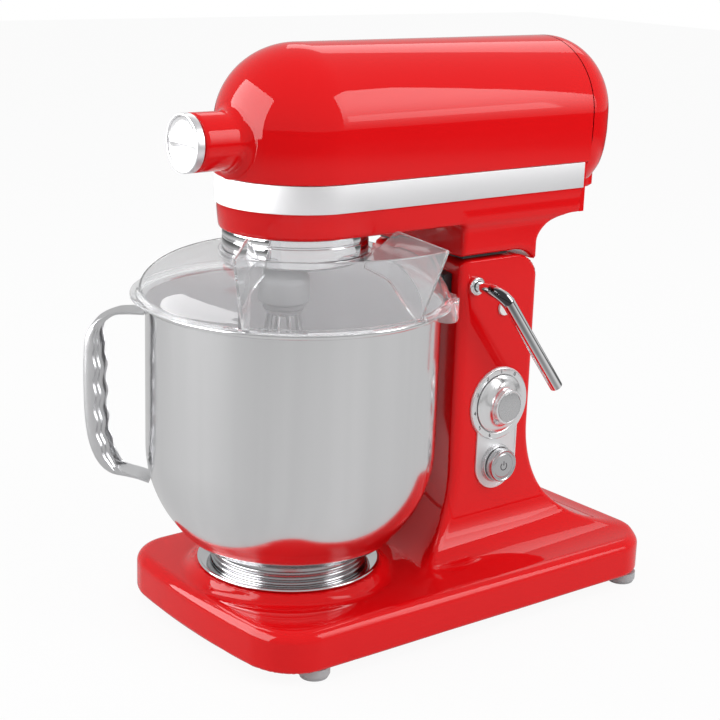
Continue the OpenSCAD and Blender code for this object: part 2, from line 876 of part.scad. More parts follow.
module drip_screws() {
    color("silver") for (a = drip_screw_angles) rotate([0, 0, a]) translate([drum_r - 9, 0, 0]) {
        translate([0, 0, z_head - 2]) cylinder(r = screw_r, h = floor_t + 2.5);
        translate([0, 0, z_floor]) cylinder(r = 2 * screw_r, h = 2.5);
    }
}

// Gaps between the teeth of the ring gear
module teeth_gap(pitch_r, count, deep, shallow) {
    step = 2 * PI * pitch_r / count;
    w = 0.29 * step;
    for (i = [0 : count - 1]) rotate([0, 0, 360 * i / count]) polygon([
        [pitch_r - shallow, -w * 1.3], [pitch_r + deep, -w * 0.72],
        [pitch_r + deep, w * 0.72], [pitch_r - shallow, w * 1.3]
    ]);
}

module planet_pinion() {
    color("gray") at_planet() difference() {
        translate([0, 0, z_gear + 0.5]) linear_extrude(gear_w - 1) {
            circle(r = pinion_r - tooth_ded + 0.2);
            teeth(pinion_r, pinion_teeth, tooth_add, tooth_ded);
        }
        translate([0, 0, z_gear]) cylinder(r = planet_r + fit, h = gear_w);
    }
}

module planet_shaft() {
    color("silver") at_planet() {
        translate([0, 0, z_collar_low + 6]) cylinder(r = planet_r, h = z_gear + gear_w - z_collar_low - 4);
        translate([0, 0, z_gear + gear_w]) cylinder(r = planet_r + 1.5, h = 1.5);
    }
}

// Turning part of the drum, with the arm that carries the planet shaft
module planet_carrier() {
    color("gainsboro") difference() {
        rotate_extrude() polygon([
            [0, z_drum], [drum_r - 1.5, z_drum], [drum_r, z_drum + 1.5],
            [drum_r, z_drum + drum_h], [0, z_drum + drum_h]
        ]);
        at_planet() translate([0, 0, z_drum - 1]) cylinder(r = planet_r + fit, h = drum_h + 2);
        translate([0, 0, z_drum + 2]) cylinder(r = main_r + fit, h = drum_h);
    }
}

module main_shaft() {
    color("silver") translate([0, 0, z_drum + 2]) cylinder(r = main_r, h = z_face - z_drum - 3);
}

// Crown gear on the main shaft
module face_gear() {
    top = z_face + 1.3;
    root = z_face - 3.1;
    color("gray") difference() {
        union() {
            translate([0, 0, z_face - 10]) cylinder(r = face_r + 6, h = 7);
            for (i = [0 : face_teeth - 1]) rotate([0, 0, 360 * (i + 0.5) / face_teeth])
                along_x(face_r - 4.5, face_r + 4.5)
                    polygon([[-1.25, root], [1.25, root], [0.6, top], [-0.6, top]]);
            translate([0, 0, z_face - 16]) cylinder(r = main_r + 5, h = 8);
        }
        translate([0, 0, z_face - 17]) cylinder(r = main_r + fit, h = 18);
    }
}

module drive_teeth_outline() {
    circle(r = drive_r - 1.9);
    teeth(drive_r, drive_teeth, 1.3, 2.1);
}

// Pinion on the motor shaft; one tooth points down into the crown gear
module drive_pinion() {
    color("gray") at_motor() difference() {
        along_y(face_r - 4, face_r + 4) rotate([0, 0, -90]) drive_teeth_outline();
        rod_y(face_r - 5, face_r + 5, shaft_r + fit);
    }
}

// Shaft of the attachment hub, with its own pinion
module pto_shaft() {
    color("silver") at_motor() {
        rod_y(12 - hub_reach, -face_r + 6, shaft_r);
        along_y(-face_r - 4, -face_r + 4) rotate([0, 0, -90]) drive_teeth_outline();
        along_y(12 - hub_reach, 24 - hub_reach) square(11, center = true);
    }
}

// Aluminium frame with the bearings of the main shaft, the motor shaft and the hub shaft
module gear_frame() {
    color("lightgray") difference() {
        union() {
            box([-46, -32, plate_low], [46, 80, plate_low + 6]);
            for (x = [-40, 40]) for (y = [-26, 72])
                translate([x, y, z_floor]) cylinder(r = 5, h = plate_low - z_floor + 1);
            box([-20, face_r + 12, plate_low], [20, face_r + 20, z_hub + 16]);
        }
        translate([0, 0, plate_low - 1]) cylinder(r = 16 + fit, h = 8);
        at_motor() rod_y(face_r + 11, face_r + 21, 11 + fit);
    }
}

module bearing(inner, outer, h) {
    difference() {
        cylinder(r = outer, h = h);
        translate([0, 0, -1]) cylinder(r = inner + fit, h = h + 2);
    }
}

module shaft_bearings() {
    color("silver") {
        translate([0, 0, z_head - 1]) bearing(main_r, 16, floor_t + 1);
        translate([0, 0, plate_low]) bearing(main_r, 16, 6);
        at_motor() translate([0, face_r + 20, 0]) rotate([90, 0, 0]) bearing(shaft_r, 11, 8);
    }
}

// ---- Motor ---------------------------------------------------------------

module motor_case() {
    color("dimgray") at_motor() difference() {
        rod_y(motor_y, motor_y + motor_len, motor_r);
        rod_y(motor_y + 5, motor_y + motor_len - 5, motor_r - 6);
        rod_y(motor_y - 1, motor_y + motor_len + 1, 10 + fit);
        for (a = [0 : 60 : 300]) rotate([0, a + 30, 0]) box([20, motor_y - 1, -3], [26, motor_y + 6, 3]);
        for (x = [-motor_r, motor_r]) translate([x, brush_y, 0])
            box([-10, -brush_w - gap, -brush_w - gap], [10, brush_w + gap, brush_w + gap]);
    }
}

module motor_mount() {
    color("lightgray") difference() {
        box([-24, motor_y + 12, z_floor], [24, motor_y + motor_len - 26, z_hub - motor_r + 9]);
        at_motor() rod_y(motor_y, motor_y + motor_len, motor_r + fit);
    }
}

module motor_bearings() {
    color("silver") at_motor() for (y = [motor_y + 5, motor_y + motor_len])
        translate([0, y, 0]) rotate([90, 0, 0]) bearing(shaft_r, 10, 5);
}

module brush_holders() {
    color("saddlebrown") at_motor() for (x = [-28, 28]) translate([x, brush_y, 0])
        box([-14, -brush_w, -brush_w], [14, brush_w, brush_w]);
}

module motor_shaft() {
    color("silver") at_motor() rod_y(face_r - 8, motor_y + motor_len + 14, shaft_r);
}

module armature() {
    color("peru") at_motor() difference() {
        union() {
            rod_y(motor_y + 12, motor_y + motor_len - 32, 26);
            rod_y(motor_y + motor_len - 26, motor_y + motor_len - 8, 13);
            rod_y(motor_y + motor_len - 32, motor_y + motor_len - 26, 20);
        }
        rod_y(motor_y, motor_y + motor_len, shaft_r + fit);
    }
}

module cooling_fan() {
    y = motor_y + motor_len + 3;
    color("dimgray") at_motor() difference() {
        union() {
            rod_y(y, y + 2, fan_r);
            rod_y(y, y + fan_w, 9);
            for (a = [0 : 45 : 315]) rotate([0, a, 0]) box([8, y + 1, -1], [fan_r - 1, y + fan_w, 1]);
        }
        rod_y(y - 1, y + fan_w + 1, shaft_r + fit);
    }
}

// ---- Attachment hub ------------------------------------------------------

module hub_socket() {
    color("silver") at_motor() difference() {
        rod_y(9 - hub_reach, 40 - hub_reach, hub_r - 3 - fit);
        rod_y(8 - hub_reach, 28 - hub_reach, 9);
        rod_y(27 - hub_reach, 41 - hub_reach, shaft_r + fit);
    }
}

// Polished cap with a pinched grip across its face
module hub_cap() {
    color("gainsboro") at_motor() {
        difference() {
            rod_y(-hub_reach, 6.6 - hub_reach, hub_r);
            rod_y(-hub_reach - 1, 2 - hub_reach, hub_r - 2);
        }
        along_y(0.6 - hub_reach, 3 - hub_reach) intersection() {
            circle(r = hub_r - 2.5);
            union() {
                translate([0, hub_r + 8]) circle(r = hub_r + 5);
                translate([0, -hub_r - 8]) circle(r = hub_r + 5);
            }
        }
        rod_y(6.5 - hub_reach, 8.6 - hub_reach, hub_r - 3.5);
    }
}

// ---- Beater --------------------------------------------------------------

module beater_collar() {
    color("white") at_planet() difference() {
        rotate_extrude() polygon([
            [0, z_collar_low], [collar_r - 3.5, z_collar_low], [collar_r - 3.5, z_collar_low + 3.5],
            [collar_r, z_collar_low + 4.5], [collar_r, z_collar_low + 20],
            [collar_r - 6, z_drum - 1.2], [0, z_drum - 1.2]
        ]);
        translate([0, 0, z_collar_low + 6 - gap]) cylinder(r = planet_r + fit, h = 40);
    }
}

// Loops of the whisk, each a little shallower than the last so that they cross clear
module whisk_wires() {
    color("silver") at_planet() for (i = [0 : whisk_loops - 1])
        rotate([0, 0, 180 * i / whisk_loops]) wire_loop(whisk_r - i * (2 * wire_r + 0.5));
}

// One loop: an arc below, and two straight wires that run up to the collar
module wire_loop(r) {
    z_arc = z_bowl + bowl_wall + 14 + whisk_r;
    rise = z_collar_low - 1 - z_arc;
    reach = sqrt(pow(rise, 2) + pow(wire_in, 2));
    a = atan2(rise, wire_in) - acos(r / reach);
    run = sqrt(pow(reach, 2) - pow(r, 2));
    lean = atan2(wire_in - r * cos(a), rise - r * sin(a));
    translate([0, 0, z_arc]) {
        rotate([90, 0, 0]) rotate([0, 0, 180 - a]) rotate_extrude(angle = 180 + 2 * a)
            translate([r, 0]) circle(r = wire_r, $fn = 24);
        for (s = [0, 180]) rotate([0, 0, s]) translate([r * cos(a), 0, r * sin(a)])
            rotate([0, lean, 0]) translate([0, 0, -0.5]) cylinder(r = wire_r - 0.02, h = run + 0.5, $fn = 24);
    }
}

// Steel disc under the collar that the wires run into
module whisk_hub() {
    color("silver") at_planet() translate([0, 0, z_collar_low - 4]) cylinder(r = collar_r - 4, h = 4);
}

// ---- Bowl ----------------------------------------------------------------

// Side of the bowl from its floor to its rim: a knuckle, then a long shoulder; inset draws it inwards
function bowl_side(inset) = let (
    turn = 40,
    shoulder = [bowl_r - shoulder_r, z_bowl + 0.84 * shoulder_r],
    drop = shoulder.y - shoulder_r * sin(turn) - z_bowl,
    knuckle = [43, drop / (1 - sin(turn))],
    knuckle_x = shoulder.x + (shoulder_r - knuckle.x) * cos(turn)
) concat(
    [[0, z_bowl + inset]],
    oval([knuckle_x, z_bowl + knuckle.y], knuckle.x - inset, knuckle.y - inset, -90, -turn, 8),
    oval(shoulder, shoulder_r - inset, shoulder_r - inset, -turn, 0, 10)
);

module bowl() {
    color("gainsboro") difference() {
        rotate_extrude() union() {
            polygon(concat(bowl_side(0), [[bowl_r, z_rim - 1], [0, z_rim - 1]]));
            translate([bowl_r + bead_r - bowl_wall, z_rim - bead_r]) circle(r = bead_r, $fn = 32);
        }
        rotate_extrude() polygon(concat(
            bowl_side(bowl_wall),
            [[bowl_r - bowl_wall, z_rim + 1], [0, z_rim + 1]]
        ));
    }
}

// Foot ring with ribs, and the three lugs that hold it in the seat
module bowl_foot() {
    ribs = 3;
    color("gainsboro") {
        rotate_extrude() polygon(concat(
            [[ring_foot_r - 3, z_lugs], [ring_foot_r - 0.5, z_lugs]],
            [for (i = [0 : ribs]) let (z = z_lugs + 6 + 4.2 * i) each [
                [ring_foot_r - 0.5, z], [ring_foot_r, z + 0.8],
                [ring_foot_r, z + 2.2], [ring_foot_r - 0.5, z + 3]]],
            [[ring_foot_r - 0.5, z_bowl - e], [ring_foot_r - 3, z_bowl - e]]
        ));
        at_lugs() lug_ring(ring_foot_r - 1, cup_r - 3 - gap, z_lugs, z_lip - z_lugs - gap, lug_span);
    }
}

// Ring sector between two radii
module lug_ring(r0, r1, z, h, span) {
    rotate([0, 0, -span / 2]) rotate_extrude(angle = span) translate([r0, z]) square([r1 - r0, h]);
}

// Sheet handle: two arms and a hollow grip with finger waves on its inner side
module bowl_handle() {
    top = z_rim - 14;
    low = z_rim - 148;
    deep = 16;
    x0 = bowl_r + gap / 4;
    x1 = handle_reach;
    color("gainsboro") rotate([0, 0, handle_angle]) rotate([90, 0, 0]) translate([0, 0, -handle_w / 2])
        linear_extrude(handle_w) difference() {
            polygon(concat(
                [[x0, top], [x1 - 22, top - 1]], arc([x1 - 24, top - 25], 24, 75, 10, 6),
                [[x1, top - 40], [x1, top - 62], [x1 - 1, top - 86]],
                arc([x1 - 28, low + 27], 24, -5, -80, 6), [[x1 - 30, low + 2.6], [x0, low - 4]]
            ));
            polygon(concat(
                [[x0 - 5, top - strap_t], [x1 - 22, top - strap_t - 1]],
                arc([x1 - 24, top - 25], 24 - strap_t, 75, 40, 4),
                [for (i = [0 : 16]) [x1 - deep - 1.2 + 1.2 * cos(i * 90), top - 18 - i * 5.2]],
                arc([x1 - 30, low + 26], 24 - strap_t, -30, -85, 5), [[x0 - 5, low - 4 + strap_t]]
            ));
        }
}

// ---- Splash guard and chute ----------------------------------------------

// Outline of the guard's dome from its rim to its collar, at a height above the rim
function guard_curve(d) = [
    for (p = oval([guard_in, 0], guard_r - 6 - guard_in, guard_h, 0, 90, 12)) [p.x, p.y + d]
];

module splash_guard() {
    z0 = z_rim + gap;
    color("white") difference() {
        union() {
            rotate_extrude() translate([0, z0]) polygon(concat(
                [[bowl_r, 0], [guard_r, 0], [guard_r, clear_t]],
                guard_curve(clear_t),
                [[guard_in, guard_h + clear_t], [guard_in, guard_h]],
                [for (i = [12 : -1 : 1]) guard_curve(0)[i]],
                [[guard_r - 6.5, clear_t], [bowl_r, clear_t]]
            ));
            for (a = clip_angles) rotate([0, 0, a])
                box([bowl_r + 2 * bead_r + 2, -4, z_rim - 8], [guard_r - 0.5, 4, z0 + 1]);
            for (a = hook_angles) rotate([0, 0, a]) guard_hook(z0 + guard_h);
        }
        box([-guard_r, guard_chord, z_rim - 20], [guard_r, guard_r + 5, z_rim + 60]);
        translate([0, 0, z_rim - 1]) linear_extrude(60) polygon(chute_path(guard_r + 8, 0.8));
    }
}

// Tab that holds the guard's collar to the fixed ring above the drum
module guard_hook(z) {
    box([guard_in, -4, z], [guard_in + clear_t, 4, z_drip + 7]);
    box([drum_r + gap, -4, z_drip + 4], [guard_in + e, 4, z_drip + 7]);
}

// Plan of the chute's wall around its front, with ends that turn in towards the drum
function chute_path(front_r, grow = 0) = concat(
    [polar(chute_in, chute_a0 - chute_turn0 - grow), polar(chute_knee, chute_a0 - chute_turn0 - grow)],
    arc([0, 0], front_r, chute_a0 - grow, chute_a1 + grow, 16),
    [polar(chute_knee, chute_a1 + chute_turn1 + grow), polar(chute_in, chute_a1 + chute_turn1 + grow)]
);

// Section of the chute's wall at one place, with a lip at its foot
function chute_section(low, high, z0, z1, out, lip) = let (
    at = function (p, inwards, z) [p.x - inwards * out.x, p.y - inwards * out.y, z]
) [
    at(low, lip, z0), at(low, lip, z0 + clear_t), at(low, clear_t, z0 + clear_t),
    at(high, clear_t, z1), at(high, 0, z1), at(low, 0, z0)
];

module chute() {
    z0 = z_rim + gap;
    z1 = z_rim + chute_h;
    low = chute_path(guard_r - 4);
    high = chute_path(chute_r);
    n = len(low) - 1;
    feet = concat([z0 + 22, z0 + 16], [for (i = [2 : n - 2]) z0], [z0 + 16, z0 + 22]);
    tops = concat([z0 + guard_h + 2, z1 + 3], [for (i = [2 : n - 2]) z1], [z1 + 3, z0 + guard_h + 2]);
    color("white") loft([for (i = [0 : n])
        let (
            step = high[min(i + 1, n)] - high[max(i - 1, 0)],
            out = [step.y, -step.x] / norm(step),
            lip = i > 1 && i < n - 1 ? guard_r - 4 - bowl_r : clear_t + 1
        )
        chute_section(low[i], high[i], feet[i], tops[i], out, lip)]);
}

// ---- Nodes ---------------------------------------------------------------

module place() {
    translate([-origin_x, -origin_y, 0]) children();
}

place() base_casting();
place() bottom_plate();
place() feet();
place() foot_screws();
place() seat_ring();
place() seat_screws();
place() control_plate();
place() speed_pot();
place() button_bezel();
place() switch_body();
place() control_board();
place() board_parts();
place() hinge_pin();
place() pin_caps();
place() lock_bush();
place() guard_sensor();
place() cord_gland();
place() neck_seal();
place() lever_rod();
place() lever_cam();
place() dial_knob();
place() dial_cap();
place() dial_spindle();
place() button_cap();
place() button_stem();
place() head_housing();
place() rear_plate();
place() side_band();
place() head_shell();
place() rear_cover();
place() rear_screws();
place() drip_ring();
place() drip_screws();
place() ring_gear();
place() gear_frame();
place() shaft_bearings();
place() motor_case();
place() motor_mount();
place() motor_bearings();
place() brush_holders();
place() splash_guard();
place() hub_socket();
place() motor_shaft();
place() armature();
place() cooling_fan();
place() drive_pinion();
place() main_shaft();
place() face_gear();
place() planet_carrier();
place() pto_shaft();
place() planet_shaft();
place() planet_pinion();
place() beater_collar();
place() whisk_wires();
place() whisk_hub();
place() hub_cap();
place() bowl();
place() bowl_foot();
place() bowl_handle();
place() chute();
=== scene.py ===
"""Stand mixer: the look of each piece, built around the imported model."""
import functools
import itertools
import json
import math

import bmesh
import bpy
import numpy as np
from mathutils import Matrix, Vector


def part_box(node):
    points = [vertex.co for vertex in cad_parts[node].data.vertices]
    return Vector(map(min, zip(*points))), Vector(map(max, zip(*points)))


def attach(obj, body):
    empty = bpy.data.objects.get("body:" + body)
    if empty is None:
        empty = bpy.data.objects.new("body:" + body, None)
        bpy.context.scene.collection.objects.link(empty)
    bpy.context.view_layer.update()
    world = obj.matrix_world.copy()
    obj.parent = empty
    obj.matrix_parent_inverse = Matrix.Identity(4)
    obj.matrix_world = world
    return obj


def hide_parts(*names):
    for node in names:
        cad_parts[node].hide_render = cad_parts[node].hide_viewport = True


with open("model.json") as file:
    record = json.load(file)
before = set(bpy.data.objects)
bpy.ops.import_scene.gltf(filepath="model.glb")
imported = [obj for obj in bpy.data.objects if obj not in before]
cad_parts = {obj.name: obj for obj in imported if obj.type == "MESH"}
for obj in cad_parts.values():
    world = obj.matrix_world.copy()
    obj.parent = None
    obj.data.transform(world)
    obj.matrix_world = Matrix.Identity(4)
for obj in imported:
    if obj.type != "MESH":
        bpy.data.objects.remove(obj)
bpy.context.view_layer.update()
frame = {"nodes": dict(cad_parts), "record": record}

# ---- Measures taken from the frame, in millimetres from the bowl's axis ----

SEAT_LOW, SEAT_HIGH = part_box("seat_ring")
AXIS = Vector(((SEAT_LOW.x + SEAT_HIGH.x) / 2, (SEAT_LOW.y + SEAT_HIGH.y) / 2, 0))


def low(node):
    return (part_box(node)[0] - AXIS) * 1000


def high(node):
    return (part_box(node)[1] - AXIS) * 1000


def middle(node):
    return (low(node) + high(node)) / 2


FOOT_H = high("feet").z
# Half the base's width at its front; at the rear it is wider by the splay.
BASE_W = high("base_casting").x - 6.4
BASE_FRONT = low("base_casting").y
BASE_BACK = high("base_casting").y
COL_TOP = high("base_casting").z
TOP_Z = low("seat_ring").z
SEAT_R = high("seat_ring").x
SEAT_Z = high("seat_ring").z
BOWL_Z = low("bowl").z
RIM_Z = high("bowl").z
BEAD_R = 2.8
BOWL_R = high("bowl").x - 2 * BEAD_R + 1.2
SIDE_X = low("control_plate").x
HEAD_R = high("head_shell").x
BAND_R = high("side_band").x
BAND_Z = low("side_band").z
SHELL_Z = low("head_shell").z
TOP_OF_HEAD = high("head_shell").z
UNDER_Z = high("drip_ring").z
HOUSING_END = high("side_band").y
SEAM_Y = low("rear_cover").y
REAR_Y = high("rear_cover").y
REAR_DEEP = 45
HINGE = middle("hinge_pin")
DRUM_R = high("planet_carrier").x
DRUM_Z = low("planet_carrier").z
DRIP_Z = low("drip_ring").z
HUB = middle("hub_cap")
HUB_R = high("hub_cap").x
DIAL = middle("dial_knob")
BUTTON = middle("button_cap")
PLANET = middle("beater_collar")
GUARD_R = -low("splash_guard").x
LOCK = middle("lock_bush")
PLATE_X = high("control_plate").x
DOME_H = 59
DOME_Z = TOP_OF_HEAD - DOME_H
COL_R = GUARD_R + 4.7
COL_BACK = COL_R + 74
NECK_GAP = 3.2
HANDLE_ANGLE = 231


# ---- Mesh helpers ----

def show(obj):
    """Puts an object into the scene."""
    bpy.context.scene.collection.objects.link(obj)


def piece(name, verts, faces, body, finish, slot, replaces=(), smooth=40):
    """A mesh object from points in millimetres around the bowl's axis."""
    mesh = bpy.data.meshes.new(name)
    points = np.asarray(verts, float).reshape(-1, 3) / 1000 + np.array(AXIS)
    mesh.from_pydata(points.tolist(), [], [list(map(int, f)) for f in faces])
    mesh.validate()
    mesh.update()
    obj = bpy.data.objects.new(name, mesh)
    show(obj)
    obj.data.materials.append(finish)
    shade(obj, smooth)
    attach(obj, body)
    if replaces:
        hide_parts(*replaces)
    return obj


def shade(obj, angle):
    """Smooth shading that keeps edges sharper than an angle in degrees."""
    mesh = obj.data
    mesh.polygons.foreach_set("use_smooth", [True] * len(mesh.polygons))
    if angle < 180:
        mesh.set_sharp_from_angle(angle=math.radians(angle))


def grid_faces(rows, cols, wrap_rows=False, wrap_cols=False, flip=False):
    """Quads between a grid of points, row after row."""
    out = []
    for i in range(rows if wrap_rows else rows - 1):
        for j in range(cols if wrap_cols else cols - 1):
            a = i * cols + j
            b = i * cols + (j + 1) % cols
            c = (i + 1) % rows * cols + (j + 1) % cols
            d = (i + 1) % rows * cols + j
            out.append((a, d, c, b) if flip else (a, b, c, d))
    return out


def capped_faces(rows, cols):
    """Quads along a tube of closed rings, with a face over each end."""
    last = (rows - 1) * cols
    return grid_faces(rows, cols, wrap_cols=True) + [list(range(cols))[::-1], list(range(last, last + cols))]


def arc(cx, cy, r, a0, a1, n=8, ry=None):
    """Points of an arc or an elliptical arc, angles in degrees."""
    ry = r if ry is None else ry
    t = np.radians(np.linspace(a0, a1, n + 1))
    return [(cx + r * math.cos(a), cy + ry * math.sin(a)) for a in t]


def bend(a, p, b, n):
    """Points of a curve from a to b that is drawn towards p."""
    a, p, b = np.array(a), np.array(p), np.array(b)
    return [tuple((1 - t) ** 2 * a + 2 * t * (1 - t) * p + t * t * b) for t in np.linspace(0, 1, n + 1)]


def rounded(points, r, n=3, closed=True):
    """The outline with each corner rounded; r may be one radius or one for each corner."""
    pts = [np.array(p, float) for p in points]
    m = len(pts)
    radii = r if isinstance(r, (list, tuple)) else [r] * m
    out = []
    for i, p in enumerate(pts):
        if not closed and i in (0, m - 1) or radii[i] <= 0:
            out.append(tuple(p))
            continue
        u = pts[i - 1] - p
        v = pts[(i + 1) % m] - p
        lu, lv = np.linalg.norm(u), np.linalg.norm(v)
        cut = min(radii[i], lu * 0.49, lv * 0.49)
        a, b = p + u / lu * cut, p + v / lv * cut
        out += bend(a, p, b, n)
    return out


def lathe(name, profile, body, finish, slot, replaces=(), centre=(0, 0), segments=192,
          axis="z", smooth=40):
    """Revolves an outline of (radius, height) around an upright axis, or one along x or y."""
    angles = np.radians(np.linspace(0, 360, segments + 1)[:segments])
    rows = []
    for r, h in profile:
        for a in angles:
            if axis == "z":
                rows.append((centre[0] + r * math.cos(a), centre[1] + r * math.sin(a), h))
            elif axis == "x":
                rows.append((h, centre[0] + r * math.cos(a), centre[1] + r * math.sin(a)))
            else:
                rows.append((centre[0] + r * math.sin(a), h, centre[1] + r * math.cos(a)))
    faces = grid_faces(len(profile), segments, wrap_rows=True, wrap_cols=True, flip=axis != "z")
    return solid(name, rows, faces, body, finish, slot, replaces, smooth)


def tidy_mesh(obj, distance=1e-6):
    """Joins points that fall together, drops empty faces and turns the faces outwards."""
    mesh = bmesh.new()
    mesh.from_mesh(obj.data)
    bmesh.ops.remove_doubles(mesh, verts=mesh.verts, dist=distance)
    bmesh.ops.dissolve_degenerate(mesh, edges=mesh.edges, dist=distance)
    bmesh.ops.recalc_face_normals(mesh, faces=mesh.faces)
    mesh.to_mesh(obj.data)
    mesh.free()


def solid(*what, **how):
    """A piece whose mesh is cleaned."""
    obj = piece(*what, **how)
    tidy_mesh(obj)
    return obj


def tube(name, rows, rings, *rest, **how):
    """A closed solid from rings of points, one after another."""
    return solid(name, rows, capped_faces(rings, len(rows) // rings), *rest, **how)


def sweep(name, path, section, body, finish, slot, replaces=(), up=None, smooth=60):
    """Sweeps a closed section along a path; section is a list or a function of the share run."""
    path = np.asarray(path, float)
    n = len(path)
    tangents = np.gradient(path, axis=0)
    tangents /= np.linalg.norm(tangents, axis=1)[:, None]
    side = np.cross(tangents[0], up if up is not None else (0, 0, 1))
    if np.linalg.norm(side) < 1e-6:
        side = np.cross(tangents[0], (1, 0, 0))
    rows = []
    for i in range(n):
        t = tangents[i]
        side = np.cross(t, up) if up is not None else side - t * (side @ t)
        side /= np.linalg.norm(side)
        over = np.cross(side, t)
        ring = section(i / (n - 1)) if callable(section) else section
        rows += [path[i] + side * p[0] + over * p[1] for p in ring]
    return tube(name, rows, n, body, finish, slot, replaces, smooth)


def around(r, a, *rest):
    """The point at a distance and an angle around the origin."""
    return (r * math.cos(a), r * math.sin(a), *rest)


def circle(r, n):
    return [around(r, 2 * math.pi * k / n) for k in range(n)]


def smooth_path(points, count):
    """Catmull-Rom curve through points of any dimension, resampled evenly."""
    p = [np.array(q, float) for q in points]
    p = [2 * p[0] - p[1]] + p + [2 * p[-1] - p[-2]]
    fine = []
    for i in range(1, len(p) - 2):
        for t in np.linspace(0, 1, 24, endpoint=False):
            fine.append(0.5 * (2 * p[i] + (p[i + 1] - p[i - 1]) * t
                        + (2 * p[i - 1] - 5 * p[i] + 4 * p[i + 1] - p[i + 2]) * t * t
                        + (3 * p[i] - p[i - 1] - 3 * p[i + 1] + p[i + 2]) * t ** 3))
    fine.append(p[-2])
    fine = np.array(fine)
    run = np.concatenate([[0], np.cumsum(np.linalg.norm(np.diff(fine, axis=0), axis=1))])
    even = np.linspace(0, run[-1], count)
    return np.stack([np.interp(even, run, fine[:, k]) for k in range(fine.shape[1])], axis=1)


# ---- Solid modelling by distance fields ----

def blend_min(a, b, k):
    """Union whose inner corner is rounded over a width k."""
    h = np.maximum(k - np.abs(a - b), 0) / k
    return np.minimum(a, b) - h * h * k / 4


def blend_max(a, b, k):
    return -blend_min(-a, -b, k)


def meet(*parts):
    """What all the parts share."""
    return functools.reduce(np.maximum, parts)


def cut(body, *parts):
    """The body less what the parts share."""
    return np.maximum(body, -meet(*parts))


def flat_box(u, v, half_u, half_v, r):
    """Distance to a rounded rectangle in the plane."""
    qu, qv = np.abs(u) - half_u + r, np.abs(v) - half_v + r
    return np.hypot(np.maximum(qu, 0), np.maximum(qv, 0)) + np.minimum(np.maximum(qu, qv), 0) - r


def slab(d, w, r):
    """Extrusion of a plane distance d by a height distance w, its edges rounded by r."""
    return np.minimum(np.maximum(d + r, w + r), 0) + np.hypot(np.maximum(d + r, 0), np.maximum(w + r, 0)) - r


def carve(name, field, lo, hi, cell, body, finish, slot, replaces=()):
    """Meshes a distance field with one point per crossed cell, moved onto the true surface."""
    lo, hi = np.array(lo, float), np.array(hi, float)
    count = np.ceil((hi - lo) / cell).astype(int) + 1
    axes = [lo[k] + cell * np.arange(count[k]) for k in range(3)]
    value = field(*np.meshgrid(*axes, indexing="ij"))
    inside = value < 0
    cells = tuple(count - 1)
    total = np.zeros(cells + (3,))
    hits = np.zeros(cells)

    def part(a, c):
        return a[c[0]:c[0] + cells[0], c[1]:c[1] + cells[1], c[2]:c[2] + cells[2]]

    for c in itertools.product((0, 1), repeat=3):
        for k in range(3):
            if c[k]:
                continue
            d = list(c)
            d[k] = 1
            va, vb = part(value, c), part(value, d)
            cross = (va < 0) != (vb < 0)
            t = np.where(cross, va / np.where(cross, va - vb, 1), 0)
            for m in range(3):
                total[..., m] += np.where(cross, c[m] + (t if m == k else 0), 0)
            hits += cross
    live = hits > 0
    number = np.full(cells, -1)
    number[live] = np.arange(live.sum())
    base = np.stack(np.nonzero(live), axis=1)
    points = lo + cell * (base + total[live] / hits[live][:, None])
    faces = []
    for k in range(3):
        u, v = (k + 1) % 3, (k + 2) % 3
        here = [slice(1, -1)] * 3
        here[k] = slice(0, -1)
        there = list(here)
        there[k] = slice(1, None)
        a, b = inside[tuple(here)], inside[tuple(there)]
        spot = np.stack(np.nonzero(a != b), axis=1)
        spot[:, u] += 1
        spot[:, v] += 1
        ring = []
        for du, dv in ((0, 0), (1, 0), (1, 1), (0, 1)):
            q = spot.copy()
            q[:, u] -= du
            q[:, v] -= dv
            ring.append(number[q[:, 0], q[:, 1], q[:, 2]])
        quads = np.stack(ring, axis=1)
        out = a[a != b]
        quads[~out] = quads[~out][:, ::-1]
        faces.append(quads)
    faces = np.concatenate(faces)
    step = 0.05

    def slope(p):
        g = []
        for m in range(3):
            e = np.zeros(3)
            e[m] = step
            g.append((field(*(p + e).T) - field(*(p - e).T)) / (2 * step))
        return np.stack(g, axis=1)

    for _ in range(4):
        g = slope(points)
        shift = field(*points.T)[:, None] * g / np.maximum((g * g).sum(1), 0.05)[:, None]
        points = points - np.clip(shift, -cell, cell)
    g = slope(points)
    normals = g / np.linalg.norm(g, axis=1)[:, None]
    obj = piece(name, points, faces, body, finish, slot, replaces, smooth=180)
    if len(obj.data.vertices) == len(points):
        obj.data.normals_split_custom_set_from_vertices(normals.tolist())
    return obj


# ---- Materials ----

def node_adder(tree):
    """A function that adds a shader node to a tree and sets its inputs or properties by name."""
    def add(kind, **values):
        node = tree.nodes.new("ShaderNode" + kind)
        for key, value in values.items():
            if key in node.inputs:
                node.inputs[key].default_value = value
            else:
                setattr(node, key, value)
        return node

    return add


EVEN = (1, 1, 1)


def shader(name):
    """A new node material: the material, its principled shader, and functions that add and link nodes."""
    made = bpy.data.materials.new(name)
    made.use_nodes = True
    tree = made.node_tree
    return made, tree.nodes["Principled BSDF"], node_adder(tree), tree.links.new


def set_values(node, **values):
    for key, value in values.items():
        node.inputs[key.replace("_", " ")].default_value = value


def noise(add, link, scale, detail, stretch=EVEN):
    """Noise in the object's own coordinates, stretched."""
    where = add("TexCoord")
    to = add("Mapping", Scale=stretch)
    link(where.outputs["Object"], to.inputs["Vector"])
    node = add("TexNoise", Scale=scale, Detail=detail, Roughness=0.5)
    link(to.outputs["Vector"], node.inputs["Vector"])
    return node.outputs["Fac"]


